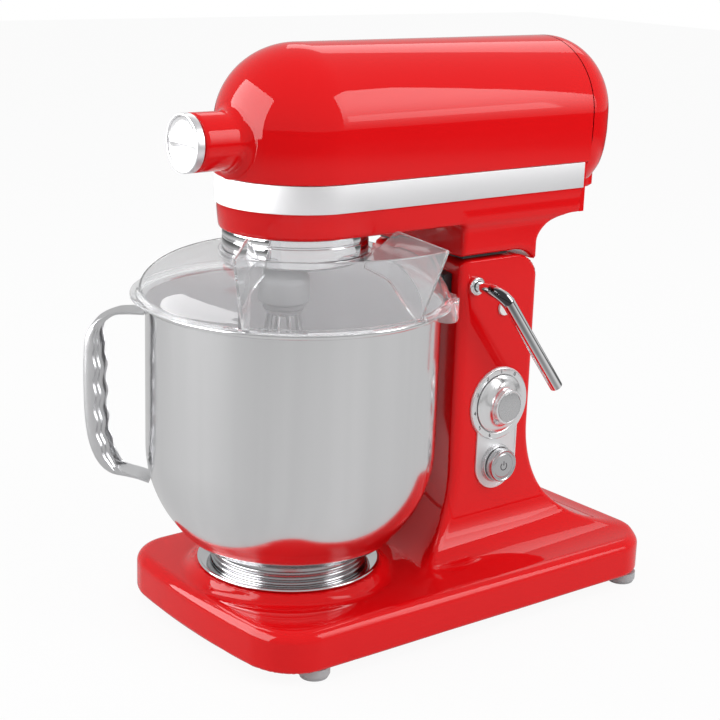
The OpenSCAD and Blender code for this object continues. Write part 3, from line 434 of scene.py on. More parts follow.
def spread(add, link, fac, lo, hi, start=0.0, end=1.0, kind="LINEAR"):
    """Maps start..end, held at both ends, to a range of numbers."""
    node = add("MapRange", interpolation_type=kind)
    set_values(node, From_Min=start, From_Max=end, To_Min=lo, To_Max=hi)
    link(fac, node.inputs["Value"])
    return node.outputs["Result"]


def times(add, link, value, factor):
    node = add("Math", operation="MULTIPLY")
    node.inputs[1].default_value = factor
    link(value, node.inputs[0])
    return node.outputs[0]


def tint(add, link, bsdf, fac, dark, light):
    """Colours a shader: 0..1 is mapped to a range of colours."""
    node = add("Mix", data_type="RGBA")
    node.inputs[6].default_value = (*dark, 1)
    node.inputs[7].default_value = (*light, 1)
    link(fac, node.inputs[0])
    link(node.outputs[2], bsdf.inputs["Base Color"])


def mixed(add, link, share, first, second):
    """The second shader in this share, a number or an output, and the first one for the rest."""
    node = add("MixShader")
    if isinstance(share, float):
        node.inputs["Fac"].default_value = share
    else:
        link(share, node.inputs["Fac"])
    link(first.outputs[0], node.inputs[1])
    link(second.outputs[0], node.inputs[2])
    return node


def surface(made, link, node):
    """Makes a shader node the look of a material."""
    link(node.outputs[0], made.node_tree.nodes["Material Output"].inputs["Surface"])


def relief(add, link, bsdf, height, strength, distance):
    node = add("Bump", Strength=strength, Distance=distance)
    link(height, node.inputs["Height"])
    link(node.outputs["Normal"], bsdf.inputs["Normal"])


def coating(name, dark, light, rough, fine, cloud, bump, **values):
    """Fine noise in gloss and relief, broad noise in the colour; each is (scale, detail, stretch)."""
    made, bsdf, add, link = shader(name)
    grain = noise(add, link, *fine)
    broad = noise(add, link, *cloud)
    tint(add, link, bsdf, broad, dark, light)
    link(spread(add, link, grain, *rough), bsdf.inputs["Roughness"])
    set_values(bsdf, **values)
    relief(add, link, bsdf, grain, bump, 0.0002)
    return made


def grey(level):
    """A neutral colour with a trace of blue."""
    return level, level, level + 0.01


def metal(name, dark, light, rough, grain=600, bump=0.05, scale=EVEN, clouds=EVEN, metallic=1.0):
    """Bare metal whose grain and whose broad clouds are stretched by a scale each."""
    return coating(name, dark, light, rough, (grain, 3, scale), (14, 3, clouds), bump, Metallic=metallic)


def plastic(name, dark, light, rough, coat=0.0):
    """Moulded plastic or rubber with a fine grain."""
    return coating(name, dark, light, rough, (900, 2, EVEN), (20, 3, EVEN), 0.05,
                   Coat_Weight=coat, Coat_Roughness=0.08)


def clear():
    """Clear plastic sheet: hardly bends what is seen through it, with gloss on its skin and a painted grey
    shade where it is seen edge-on.
    """
    made, bsdf, add, link = shader("clear_polycarbonate")
    smear = noise(add, link, 30, 3)
    link(spread(add, link, smear, 0.0, 0.03), bsdf.inputs["Roughness"])
    # Painted shade: the sheet's tint turns grey where it is seen edge-on, standing in for the darker rims
    # that refraction and reflection give.
    edge = add("LayerWeight", Blend=0.3)
    face_on, rim_painted_shade = (0.97, 0.975, 0.98), (0.72, 0.73, 0.74)
    tint(add, link, bsdf, edge.outputs["Facing"], face_on, rim_painted_shade)
    set_values(bsdf, Transmission_Weight=1.0, IOR=1.12, Coat_Weight=1.0, Coat_IOR=1.5, Coat_Roughness=0.02)
    relief(add, link, bsdf, smear, 0.02, 0.001)
    ray = add("LightPath")
    milk = add("BsdfDiffuse", Color=(*grey(0.86), 1))
    through = add("BsdfTransparent", Color=(*grey(0.85), 1))
    haze = mixed(add, link, 0.09, bsdf, milk)
    surface(made, link, mixed(add, link, ray.outputs["Is Shadow Ray"], haze, through))
    return made


def lever_steel():
    """Chrome with a painted reflection: its colour turns dark where the rod is seen square on and light
    towards its edges, painting the dark stripe that a rod mirrors in a bright studio.
    """
    made, bsdf, add, link = shader("lever_steel")
    smear = noise(add, link, 300, 3)
    link(spread(add, link, smear, 0.04, 0.08), bsdf.inputs["Roughness"])
    edge = add("LayerWeight", Blend=0.5)
    # Painted reflection: the colour runs from dark to light with the viewing angle, standing in for the dark
    # stripe the rod would mirror.
    band = spread(add, link, edge.outputs["Facing"], 0, 1, 0.18, 0.30)
    tint(add, link, bsdf, band, (0.07, 0.07, 0.075), grey(0.92))
    set_values(bsdf, Metallic=1.0)
    relief(add, link, bsdf, smear, 0.01, 0.001)
    return made


RED = coating("red_enamel", (0.66, 0.003, 0.0045), (0.72, 0.0045, 0.0065), (0.30, 0.40), (260, 2, EVEN),
              (9, 3, EVEN), 0.02, Coat_Weight=1.0, Coat_Roughness=0.03, Coat_IOR=1.36, Specular_IOR_Level=0.0)
CLEAR = clear()
LEVER_STEEL_PAINTED_STRIPE = lever_steel()
POLISHED = metal("polished_steel", grey(0.70), grey(0.78), (0.05, 0.10), 300, 0.01)
# The bowl's colour clouds are stretched upright into light and dark streaks: painted reflection streaks of
# the studio, not marks on the steel.
BOWL_STEEL_PAINTED_STREAKS = metal("bowl_steel_painted_streaks", grey(0.66), grey(0.94), (0.12, 0.18), 220, 0.02, (1, 1, 14),
                   (1.6, 1.6, 0.05))
INSIDE_STEEL = metal("inside_steel", grey(0.86), grey(0.90), (0.30, 0.36), 40, 0.002, (1, 1, 10),
                     metallic=0.55)
# Painted shade: the foot ring's steel is darker than the bowl's because the ring sits in the bowl's shadow.
FOOT_STEEL_PAINTED_SHADE = metal("foot_steel_painted_shade", grey(0.40), grey(0.50), (0.10, 0.18), 300, 0.01)
HANDLE_STEEL = metal("handle_steel", grey(0.62), grey(0.70), (0.28, 0.36), 300, 0.02)
BRUSHED = metal("brushed_band", grey(0.88), grey(0.94), (0.48, 0.60), 900, 0.04, (2, 0.05, 12))
SATIN = metal("satin_steel", grey(0.62), grey(0.70), (0.22, 0.34), 900, 0.04)
SHINY = metal("chrome_plate", grey(0.80), grey(0.86), (0.03, 0.07), 300, 0.01)
CAP_STEEL = metal("cap_steel", grey(0.93), grey(0.97), (0.30, 0.38), 300, 0.01)
DIAL_STEEL = metal("dial_steel", grey(0.92), grey(0.96), (0.20, 0.28), 200, 0.0)
BUTTON_STEEL = metal("button_steel", grey(0.56), grey(0.62), (0.18, 0.26), 200, 0.0)
GEAR = metal("machined_steel", grey(0.32), grey(0.42), (0.28, 0.42), 700, 0.05, (1, 1, 6))
CAST = metal("cast_aluminium", grey(0.55), grey(0.66), (0.45, 0.6), 500, 0.25)
COPPER = metal("copper_winding", (0.55, 0.22, 0.10), (0.70, 0.32, 0.16), (0.25, 0.4), 90, 0.4, (40, 1, 1))
BRASS = metal("brush_brass", (0.66, 0.46, 0.16), (0.75, 0.55, 0.22), (0.25, 0.4))
BLACK = plastic("black_plastic", (0.012, 0.012, 0.013), (0.022, 0.022, 0.024), (0.35, 0.5))
WHITE = plastic("white_plastic", (0.74, 0.74, 0.73), (0.80, 0.80, 0.79), (0.25, 0.35), 0.2)
PALE = plastic("pale_plastic", grey(0.36), grey(0.42), (0.3, 0.4), 0.1)
RUBBER = plastic("black_rubber", (0.02, 0.02, 0.02), (0.035, 0.035, 0.035), (0.6, 0.75))
FEET = plastic("foot_rubber", grey(0.36), grey(0.44), (0.35, 0.5))
BOARD = plastic("circuit_board", (0.01, 0.09, 0.03), (0.02, 0.14, 0.05), (0.3, 0.45), 0.3)
INK = plastic("dark_ink", (0.03, 0.03, 0.035), (0.05, 0.05, 0.055), (0.4, 0.5))

FINISHES = {
    "red_paint": RED, "brushed_band": BRUSHED, "polished_steel": POLISHED, "satin_steel": SATIN,
    "gear_steel": GEAR, "cast_aluminium": CAST, "black_plastic": BLACK, "white_plastic": WHITE,
    "rubber": RUBBER, "clear_plastic": CLEAR, "copper_winding": COPPER, "brush_brass": BRASS,
    "board_green": BOARD,
}


def dress_nodes():
    """Gives every node of the frame the finish of its slot, and soft edges."""
    slots = {s["node"]: s["material_slot"] for s in frame["record"]["subparts"]}
    for name, obj in frame["nodes"].items():
        obj.data.materials.clear()
        obj.data.materials.append(FINISHES[slots[name]])
        shade(obj, 35)
    frame["nodes"]["feet"].data.materials[0] = FEET


# ---- Base and column ----

BASE_EDGE = 9
BASE_CORNER = 38
LOWER_EDGE = 3.5
BOW = 5
SPLAY = 6.5
BOSS_R = SEAT_R + 9
CUP_R = 66
CORE_R = COL_R - BOSS_R - 2
COL_ROUND = 26
FLARE_SIDE = 45
FLARE_FRONT = 60
FLARE_BACK = 100
HOLLOW_H = 70
FOOT_BLEND = 14
TONGUE_X = 28


def flare(z, h):
    """How far a flare of height h still stands out at a height z above the base."""
    left = np.clip(h - z, 0, h)
    return h - np.sqrt(np.maximum(h * h - left * left, 0))


def plate_field(x, y, z):
    """The base plate: wider at the rear, bowed at the front, its upper edge rounder than its lower one."""
    mid = (BASE_BACK - BASE_FRONT) / 2
    bowed = y - BASE_FRONT - BOW * (np.minimum(np.abs(x), 85) / 85) ** 2
    wide = 1 + SPLAY / BASE_W * (y - BASE_FRONT) / (BASE_BACK - BASE_FRONT)
    plan = flat_box(x / wide, np.where(y < 0, bowed - mid, y - BASE_BACK + mid), BASE_W, mid, BASE_CORNER)
    centre = (TOP_Z + FOOT_H) / 2
    rise = np.abs(z - centre) - (TOP_Z - FOOT_H) / 2
    return np.where(z > centre, slab(plan, rise, BASE_EDGE), slab(plan, rise, LOWER_EDGE))


def column_field(x, y, z):
    """The column, which flares into the plate and is hollowed around the bowl."""
    up = z - TOP_Z
    half = SIDE_X + 0.75 * flare(up, FLARE_SIDE)
    front = COL_R - 14 - 0.9 * flare(up, FLARE_FRONT)
    back = np.minimum(COL_BACK + flare(up, FLARE_BACK), BASE_BACK - BASE_EDGE - 1)
    column = flat_box(x, y - (front + back) / 2, half, (back - front) / 2, 5)
    past_y, past_z = y - COL_BACK + COL_ROUND, z - COL_TOP + COL_ROUND
    rear = np.hypot(np.maximum(past_y, 0), np.maximum(past_z, 0)) - COL_ROUND
    column = meet(column, np.where((past_y > 0) & (past_z > 0), rear, z - COL_TOP))
    reach = np.clip((up - 1) / HOLLOW_H, 0, 1)
    inner = BOSS_R + 2 + CORE_R * np.sqrt(1 - (1 - reach) ** 2)
    hollow = np.where(up < HOLLOW_H + 1, inner, COL_R) - np.hypot(x, y)
    return meet(blend_max(column, hollow, FOOT_BLEND), -4 - up)


def base_field(x, y, z):
    radius = np.hypot(x, y)
    boss = meet(radius - BOSS_R + np.abs(z - TOP_Z) * 1.05, z - SEAT_Z + 3.2)
    body = blend_min(plate_field(x, y, z), boss, 5)
    body = blend_min(body, column_field(x, y, z), FOOT_BLEND)
    body = cut(body, radius - CUP_R, TOP_Z - z)
    slot = flat_box(x, z - COL_TOP, TONGUE_X + 1, COL_TOP - HINGE.z - 17.5, 3)
    body = cut(body, slot, HINGE.y - 9 - y)
    well = flat_box(x, y - HINGE.y - 1, TONGUE_X + 1, 24, 6)
    body = cut(body, well, HINGE.z - 26 - z)
    mid = (BASE_BACK - BASE_FRONT) / 2
    under = flat_box(x, y - (BASE_FRONT + BASE_BACK) / 2, BASE_W - 34, mid - 16, 12)
    return cut(body, under, z - FOOT_H - 3)


def make_base():
    """The casting of base and column."""
    room = BASE_W + SPLAY + 5
    return carve("base_body", base_field, (-room, BASE_FRONT - 5, FOOT_H - 5),
                 (room, BASE_BACK + 5, COL_TOP + 5), 2.5, "base", RED, "red_paint", ["base_casting"])


def make_seat():
    """The polished ring that the bowl stands in."""
    r, z = SEAT_R, SEAT_Z
    lathe("seat_dish", rounded([
        (63, TOP_Z), (66, TOP_Z), (66, z - 3.6), (r, z - 2.1), (r, z - 0.6), (r - 1.5, z), (60.7, z - 3.1),
        (60.7, z - 7), (63, z - 7)], [0, 0, 0.4, 0.6, 0.8, 1.2, 1, 0.4, 0], 4),
        "base", POLISHED, "polished_steel", ["seat_ring"])


# ---- Head ----

def head_outline(y1, steps=72, sides=40):
    """Plan of the head: shares of its radius along x and y, and a distance back."""
    right = [(1, 0, y) for y in np.linspace(y1, 0, sides + 1)[:-1]]
    front = [(math.cos(a), math.sin(a), 0) for a in np.radians(np.linspace(0, -180, steps + 1))]
    left = [(-1, 0, y) for y in np.linspace(0, y1, sides + 1)[1:]]
    return right + front + left


def bullet(name, profile, y1, body, finish, slot, replaces=(), smooth=40):
    """A head-shaped shell from a closed outline of (radius, height), open at the rear."""
    plan = head_outline(y1)
    rows = [(u * r, v * r + y, z) for r, z in profile for u, v, y in plan]
    first = [i * len(plan) for i in range(len(profile))]
    faces = grid_faces(len(profile), len(plan), wrap_rows=True)
    faces += [first, [i + len(plan) - 1 for i in first[::-1]]]
    return solid(name, rows, faces, body, finish, slot, replaces, smooth)


def make_head_shell():
    """The upper half of the head, with the hub tube."""
    wall = 3
    outer = rounded([(HEAD_R - wall, SHELL_Z), (HEAD_R, SHELL_Z), (HEAD_R, DOME_Z)], [0, 1.2, 0], 3, False)
    outer += arc(0, DOME_Z, HEAD_R, 0, 90, 40, DOME_H)[1:]
    inner = arc(0, DOME_Z, HEAD_R - wall, 90, 0, 20, DOME_H - wall)
    bullet("shell_upper", outer + inner, SEAM_Y - 0.6, "head", RED, "red_paint", ["head_shell"])
    hub_tube()


def head_front(x, z):
    """How far forward the head's front stands at a place across it."""
    edge = HEAD_R * math.sqrt(max(0, 1 - (max(0, z - DOME_Z) / DOME_H) ** 2))
    return -math.sqrt(max(edge * edge - x * x, 0))


def hub_tube():
    """The attachment hub's tube, with a fillet that runs out on the head."""
    fillet, turns = 7, 96
    front = HUB.y - (high("hub_cap").y - low("hub_cap").y) / 2 + 7.4
    rows = []
    for k in range(turns):
        a = 2 * math.pi * k / turns
        across, rise = math.cos(a), math.sin(a)
        root = head_front(HUB_R * across, HUB.z + HUB_R * rise)
        edge = HUB_R + fillet
        foot = head_front(edge * across, HUB.z + edge * rise)
        line = [(HUB_R - 2.5, front + 6), (HUB_R - 2.5, front + 0.4), (HUB_R - 1.8, front),
                (HUB_R - 0.6, front), (HUB_R, front + 0.6)]
        line += [(HUB_R, y) for y in np.linspace(front + 0.6, root - fillet, 9)[1:]]
        line += bend((HUB_R, root - fillet), (HUB_R, root), (edge, foot), 12)[1:]
        line.append((edge + 0.5, foot + 2.5))
        rows += [(r * across, y, HUB.z + r * rise) for r, y in line]
    faces = grid_faces(turns, len(rows) // turns, wrap_rows=True)
    piece("hub_tube", rows, faces, "head", RED, "red_paint", smooth=50)


def make_band():
    """The brushed band round the head."""
    t = 1.5
    z0, z1 = BAND_Z, high("side_band").z
    outline = rounded([(BAND_R - t, z0), (BAND_R, z0), (BAND_R, z1), (BAND_R - t, z1)], 0.5, 3)
    bullet("band", outline, HOUSING_END, "head", BRUSHED, "brushed_band", ["side_band"])


TAIL_H = 22
TAIL_R = 40


def housing_field(x, y, z):
    """The lower half of the head, with the neck and the tongue that the hinge pin goes through."""
    lean = np.clip((BAND_Z - z) / 20, 0, 1)
    r = BAND_R - 1.5 - 1.8 * lean ** 1.5
    plan = np.where(y < 0, np.hypot(x, y), np.abs(x)) - r
    body = meet(slab(plan, meet(UNDER_Z - z, z - SHELL_Z), 2.5), y - HOUSING_END)
    turn_y, turn_z = COL_BACK - COL_ROUND, COL_TOP - COL_ROUND
    over = COL_ROUND + NECK_GAP - np.hypot(y - turn_y, z - turn_z)
    floor = np.where(y > turn_y, np.where(z > turn_z, over, 1e3), COL_TOP + NECK_GAP - z)
    fall = np.clip(z - UNDER_Z + TAIL_H, 0, TAIL_H) / TAIL_H * TAIL_R
    swept = y - (COL_BACK + 38 - np.sqrt(np.maximum(TAIL_R ** 2 - fall ** 2, 0)))
    tail = np.where(z > UNDER_Z - TAIL_H, swept, y - COL_BACK + 2)
    front = COL_R - 8 - y
    neck = meet(front, floor, tail, z - UNDER_Z - 6)
    neck = blend_max(neck, np.abs(x) - SIDE_X, 5)
    body = blend_min(body, neck, 7)
    wide = np.abs(x) - TONGUE_X
    tongue = meet(wide, y - HINGE.y - 3.5, HINGE.y - 8 - y, HINGE.z - z, z - UNDER_Z - 2)
    knuckle = meet(np.hypot(y - HINGE.y, z - HINGE.z) - 12, wide)
    body = np.minimum(body, np.minimum(tongue, knuckle))
    return cut(body, plan + 4, UNDER_Z + 4 - z)


def make_housing():
    """The lower half of the head."""
    carve("housing_lower", housing_field, (-HEAD_R - 2, -HEAD_R - 2, HINGE.z - 16),
          (HEAD_R + 2, HOUSING_END + 3, SHELL_Z + 3), 2.2, "head", RED, "red_paint", ["head_housing"])


def make_rear_cover():
    """The round rear of the head: its outline turned about an upright line, shallower than it is wide."""
    wall = 3
    low_z = BAND_Z + 2
    side = rounded([(HEAD_R - 22, low_z), (HEAD_R - 14, low_z + 0.8), (HEAD_R - 5, low_z + 14),
                    (HEAD_R - 1.6, low_z + 26), (HEAD_R, low_z + 40), (HEAD_R, DOME_Z)], 5, 4, False)
    outer = [(0, low_z)] + side + arc(0, DOME_Z, HEAD_R, 0, 90, 40, DOME_H)[1:]
    inner = arc(0, DOME_Z, HEAD_R - wall, 90, 0, 16, DOME_H - wall)
    inner += [(HEAD_R - wall - 4, DOME_Z - 30), (HEAD_R - 24, low_z + 3), (0, low_z + 3)]
    turns = np.radians(np.linspace(0, 180, 97))
    centre = SEAM_Y + 2.6
    rows = []
    for r, z in outer + inner:
        rows.append((r, SEAM_Y + 0.4, z))
        rows += [(r * math.cos(a), centre + REAR_DEEP / HEAD_R * r * math.sin(a), z) for a in turns]
        rows.append((-r, SEAM_Y + 0.4, z))
    faces = grid_faces(len(outer + inner), len(turns) + 2, wrap_rows=True)
    solid("cover_rear", rows, faces, "head", RED, "red_paint", ["rear_cover"])
    half, front = 25, 276
    lug = rounded([(-half, front), (half, front), (half, REAR_Y - 5), (half - 8, REAR_Y),
                   (8 - half, REAR_Y), (-half, REAR_Y - 5)], 4, 3)
    levels = [(BAND_Z - 8, 0.93), (BAND_Z - 6, 1.0), (BAND_Z + 12, 1.0)]
    rows = [(x * s, y - (1 - s) * 30, z) for z, s in levels for x, y in lug]
    faces = capped_faces(len(levels), len(lug))
    piece("cover_lug", rows, faces, "head", RED, "red_paint")


def make_hub_cap():
    """Bright cap with a thin rim and a pinched grip across its face."""
    y0 = low("hub_cap").y
    lathe("hub_cap_rim", rounded([
        (HUB_R - 3.5, y0 + 8.6), (HUB_R - 3.5, y0 + 6.6), (HUB_R, y0 + 6.6), (HUB_R, y0 + 0.2),
        (HUB_R - 1.6, y0), (HUB_R - 2.4, y0 + 2.4), (0, y0 + 2.8), (0, y0 + 8.6)],
        [0.3, 0.3, 0.8, 0.9, 0.8, 1.5, 0, 0], 4), "hub_cap", CAP_STEEL, "polished_steel", ["hub_cap"],
        centre=(HUB.x, HUB.z), axis="y", smooth=50)
    rows, turns, rings = [], 72, 22
    span = HUB_R - 2.3
    for i in range(rings + 1):
        r = span * i / rings
        for k in range(turns):
            a = 2 * math.pi * k / turns
            x, z = r * math.cos(a), r * math.sin(a)
            ridge = math.exp(-(z / (2.0 + 0.004 * x * x)) ** 2)
            y = y0 + 0.5 + 2.4 * (1 - ridge) * (1 - (r / span) ** 8) + 0.9 * (r / span) ** 8
            rows.append((x, y, HUB.z + z))
    faces = grid_faces(rings + 1, turns, wrap_cols=True)
    solid("hub_cap_grip", rows, faces, "hub_cap", CAP_STEEL, "polished_steel", smooth=180)


# ---- Drum and whisk ----

def make_drum():
    """The turning drum and the fixed ring above it."""
    r = DRUM_R
    z0, z1 = DRUM_Z, high("planet_carrier").z
    lathe("drum_turning", rounded([(0, z0), (r, z0), (r, z1), (0, z1)], [0, 1.6, 0.5, 0], 4), "carrier",
          POLISHED, "polished_steel", ["planet_carrier"])
    z0, z1 = DRIP_Z, UNDER_Z
    lathe("drum_fixed", rounded([
        (r - 6, z0 + 1), (r - 3, z0), (r, z0), (r, z0 + 9), (r - 0.8, z0 + 9.4), (r - 0.8, z0 + 10.4),
        (r, z0 + 10.8), (r, z1), (r - 25, z1), (r - 25, z1 - 2.5), (r - 6, z1 - 2.5)],
        [0, 0.3, 0.5, 0.4, 0.2, 0.2, 0.4, 0.4, 0, 0, 0], 3),
        "head", POLISHED, "polished_steel", ["drip_ring"])


def make_whisk():
    """The pale collar of the whisk and the disc that its wires run into."""
    z0 = low("beater_collar").z
    collar = high("beater_collar").x - PLANET.x
    top = high("beater_collar").z
    lathe("whisk_collar", rounded([
        (0, z0), (collar - 3.6, z0), (collar - 3.6, z0 + 3.6), (collar, z0 + 4.6), (collar - 0.3, z0 + 20),
        (collar - 6, top), (0, top)], [0, 1, 0.8, 1.4, 3, 2, 0], 4), "beater", PALE, "white_plastic",
        ["beater_collar"], centre=(PLANET.x, PLANET.y))
    hub, hub_z = middle("whisk_hub"), low("whisk_hub").z
    hub_r = high("whisk_hub").x - hub.x
    lathe("whisk_disc", rounded([
        (0, hub_z), (hub_r - 2, hub_z), (hub_r, z0 - 0.1), (0, z0 - 0.1)],
        [0, 1.5, 0.4, 0], 4), "beater", SHINY, "polished_steel", ["whisk_hub"], centre=(PLANET.x, PLANET.y))


# ---- Clear guard and its chute ----

CLEAR_T = 2
GUARD_Z = RIM_Z + 0.4
GUARD_IN = DRUM_R + 2.5
GUARD_H = 31
CHUTE_SPAN = (-53.6, 14.4)
CHUTE_TURN = (7.5, 14.5)
CHUTE_KNEE = 80
CHUTE_TOP = 55
CHUTE_R = 140


def guard_height(r):
    """Height of the dome's underside at a distance from its middle."""
    share = np.clip((r - GUARD_IN) / (GUARD_R - 6 - GUARD_IN), 0, 1)
    return GUARD_Z + GUARD_H * math.sqrt(1 - share * share)


def make_guard():
    """Clear dome over the bowl, cut straight behind and open for the chute."""
    top = GUARD_Z + GUARD_H
    curve = [(GUARD_IN + (GUARD_R - 6 - GUARD_IN) * math.cos(t), GUARD_Z + GUARD_H * math.sin(t))
             for t in np.radians(np.linspace(6, 90, 30))]
    outer = [(GUARD_R, GUARD_Z), (GUARD_R, GUARD_Z + 1.6), (GUARD_R - 0.5, GUARD_Z + CLEAR_T),
             (GUARD_R - 3.5, GUARD_Z + CLEAR_T), (GUARD_R - 4.6, GUARD_Z + CLEAR_T + 0.6)]
    outer += [(r, z + CLEAR_T) for r, z in curve]
    outer += [(GUARD_IN + 0.4, top + 4.4), (GUARD_IN, top + 5)]
    outer += [(GUARD_IN - 1.6, top + 5), (GUARD_IN - 1.6, top)]
    inner = [(r - 0.4, z) for r, z in curve[::-1]] + [(GUARD_R - 7.4, GUARD_Z)]
    count, chord = 181, 102
    rows = []
    for k, (r, z) in enumerate(outer + inner):
        share = np.clip((r - CHUTE_KNEE) / (GUARD_R - CHUTE_KNEE), 0, 1)
        first = CHUTE_SPAN[1] + CHUTE_TURN[1] * (1 - share) + 0.5
        last = 360 + CHUTE_SPAN[0] - CHUTE_TURN[0] * (1 - share) - 0.5
        for a in np.radians(np.linspace(first, last, count)):
            q, h = r, z
            if math.sin(a) > 0 and r * math.sin(a) > chord:
                q = chord / math.sin(a)
                h = guard_height(q) + (CLEAR_T if k < len(outer) else 0)
            rows.append(around(q, a, h))
    total = len(outer + inner)
    faces = grid_faces(total, count, wrap_rows=True)
    faces += [[i * count for i in range(total)][::-1], [i * count + count - 1 for i in range(total)]]
    solid("guard_dome", rows, faces, "head", CLEAR, "clear_plastic", ["splash_guard"])


def make_chute():
    """Clear pouring chute: a flared wall round its front, with ends that slope down to the drum."""
    def wall(front_r, foot):
        first, last = np.radians((CHUTE_SPAN[0] - CHUTE_TURN[0], CHUTE_SPAN[1] + CHUTE_TURN[1]))
        z0, z1 = GUARD_Z, RIM_Z + CHUTE_TOP
        near, knee, rim = (z0 + 22, z0 + 16, z0) if foot else (z0 + GUARD_H + 2, z1 + 3, z1)
        knee_r = CHUTE_KNEE - 1 if foot else CHUTE_KNEE + 1.5
        turns = np.radians(np.linspace(*CHUTE_SPAN, 41))
        line = [around(GUARD_IN + 0.6, first, near), around(knee_r, first, knee)]
        line += [around(front_r, a, rim) for a in turns]
        line += [around(knee_r, last, knee), around(GUARD_IN + 0.6, last, near)]
        radii = [0, 5, 9] + [0] * (len(turns) - 2) + [9, 5, 0]
        return np.array(rounded(line, radii, 5, closed=False))

    lower, upper = wall(GUARD_R - 4, True), wall(CHUTE_R, False)
    n = len(lower)
    rows = []
    for i in range(n):
        step = upper[min(i + 1, n - 1)] - upper[max(i - 1, 0)]
        out = np.array((step[1], -step[0], 0)) / math.hypot(step[0], step[1])
        lip = 6 if lower[i][2] < GUARD_Z + 3 else CLEAR_T + 1
        wide, flat = CLEAR_T / 2, np.array((0, 0, CLEAR_T))
        ring = [lower[i] - out * lip, lower[i] - out * lip + flat, lower[i] - out * CLEAR_T + flat]
        ring.append(upper[i] - out * CLEAR_T - (0, 0, 0.8))
        for t in np.radians(np.linspace(180, 0, 7)):
            ring.append(upper[i] + out * wide * (math.cos(t) - 1) + (0, 0, wide * math.sin(t) - 0.8))
        ring.append(lower[i])
        rows += ring
    tube("chute_wall", rows, n, "chute", CLEAR, "clear_plastic", ["chute"])


def make_wing():
    """Clear finger tab at the guard's right rear."""
    plan = smooth_path([(GUARD_R - 3, 21), (GUARD_R + 3, 23), (GUARD_R + 7, 28), (GUARD_R + 5, 34),
                        (GUARD_R - 1, 38), (GUARD_R - 4, 36)], 40)
    rows = []
    for i, (r, a) in enumerate(plan):
        t = i / (len(plan) - 1)
        lift = math.sqrt(max(0, math.sin(math.pi * t)))
        z0, z1 = GUARD_Z + 1 - 6 * lift, GUARD_Z + 2 + 9 * lift
        w = math.radians(a)
        for d, z in ((0, z0), (0.3, z0 + 0.6), (0.3, z1 - 0.6), (0, z1), (-1.4, z1), (-1.7, z1 - 0.6),
                     (-1.7, z0 + 0.6), (-1.4, z0)):
            rows.append(around(r + d, w, z))
    tube("guard_tab", rows, len(plan), "head", CLEAR, "clear_plastic", smooth=60)


# ---- Bowl ----

SHOULDER_R = 96


def bowl_side(inset):
    """Side of the bowl from its floor to its rim."""
    turn = 40
    centre = (BOWL_R - SHOULDER_R, BOWL_Z + 0.84 * SHOULDER_R)
    drop = centre[1] - SHOULDER_R * math.sin(math.radians(turn)) - BOWL_Z
    knuckle = (43, drop / (1 - math.sin(math.radians(turn))))
    kx = centre[0] + (SHOULDER_R - knuckle[0]) * math.cos(math.radians(turn))
    pts = [(0, BOWL_Z + inset)]
    pts += arc(kx, BOWL_Z + knuckle[1], knuckle[0] - inset, -90, -turn, 24, knuckle[1] - inset)
    pts += arc(centre[0], centre[1], SHOULDER_R - inset, -turn, 0, 30)[1:]
    return pts


def make_bowl():
    """The polished bowl, with a duller inside, and its ribbed foot ring."""
    wall = 1.2
    bead = arc(BOWL_R + BEAD_R - wall, RIM_Z - BEAD_R, BEAD_R, -150, 150, 24)
    straight = BOWL_Z + 90
    outer = bowl_side(0) + [(BOWL_R, z) for z in np.linspace(straight, RIM_Z - BEAD_R - 1.5, 14)]
    inner = [(BOWL_R - wall, z) for z in np.linspace(RIM_Z - BEAD_R, straight, 8)] + bowl_side(wall)[::-1]
    shell = lathe("bowl_shell", outer + bead + inner, "bowl", BOWL_STEEL_PAINTED_STREAKS, "polished_steel", ["bowl"],
                  segments=256, smooth=60)
    shell.data.materials.append(INSIDE_STEEL)
    for face in shell.data.polygons:
        out = face.center - AXIS
        inward = face.normal.z > 0.1 or out.x * face.normal.x + out.y * face.normal.y < 0
        if inward and face.normal.z > -0.1:
            face.material_index = int(face.center.z < (RIM_Z - 2 * BEAD_R) / 1000)
    z0, z1 = low("bowl_foot").z, high("bowl_foot").z
    ring_r = 60
    profile = [(ring_r - 3, z0), (ring_r, z0), (ring_r, z0 + 5)]
    for i in range(3):
        z = z0 + 6 + 4.2 * i
        profile += arc(ring_r - 0.6, z + 1.5, 1.6, -80, 80, 6)
    profile += [(ring_r - 0.4, z1 - 2), (ring_r + 3, z1), (ring_r - 3, z1)]
    # The foot ring's darker steel is painted shade for the shadow under the bowl.
    lathe("bowl_foot_ring", profile, "bowl", FOOT_STEEL_PAINTED_SHADE, "polished_steel", ["bowl_foot"], smooth=50)


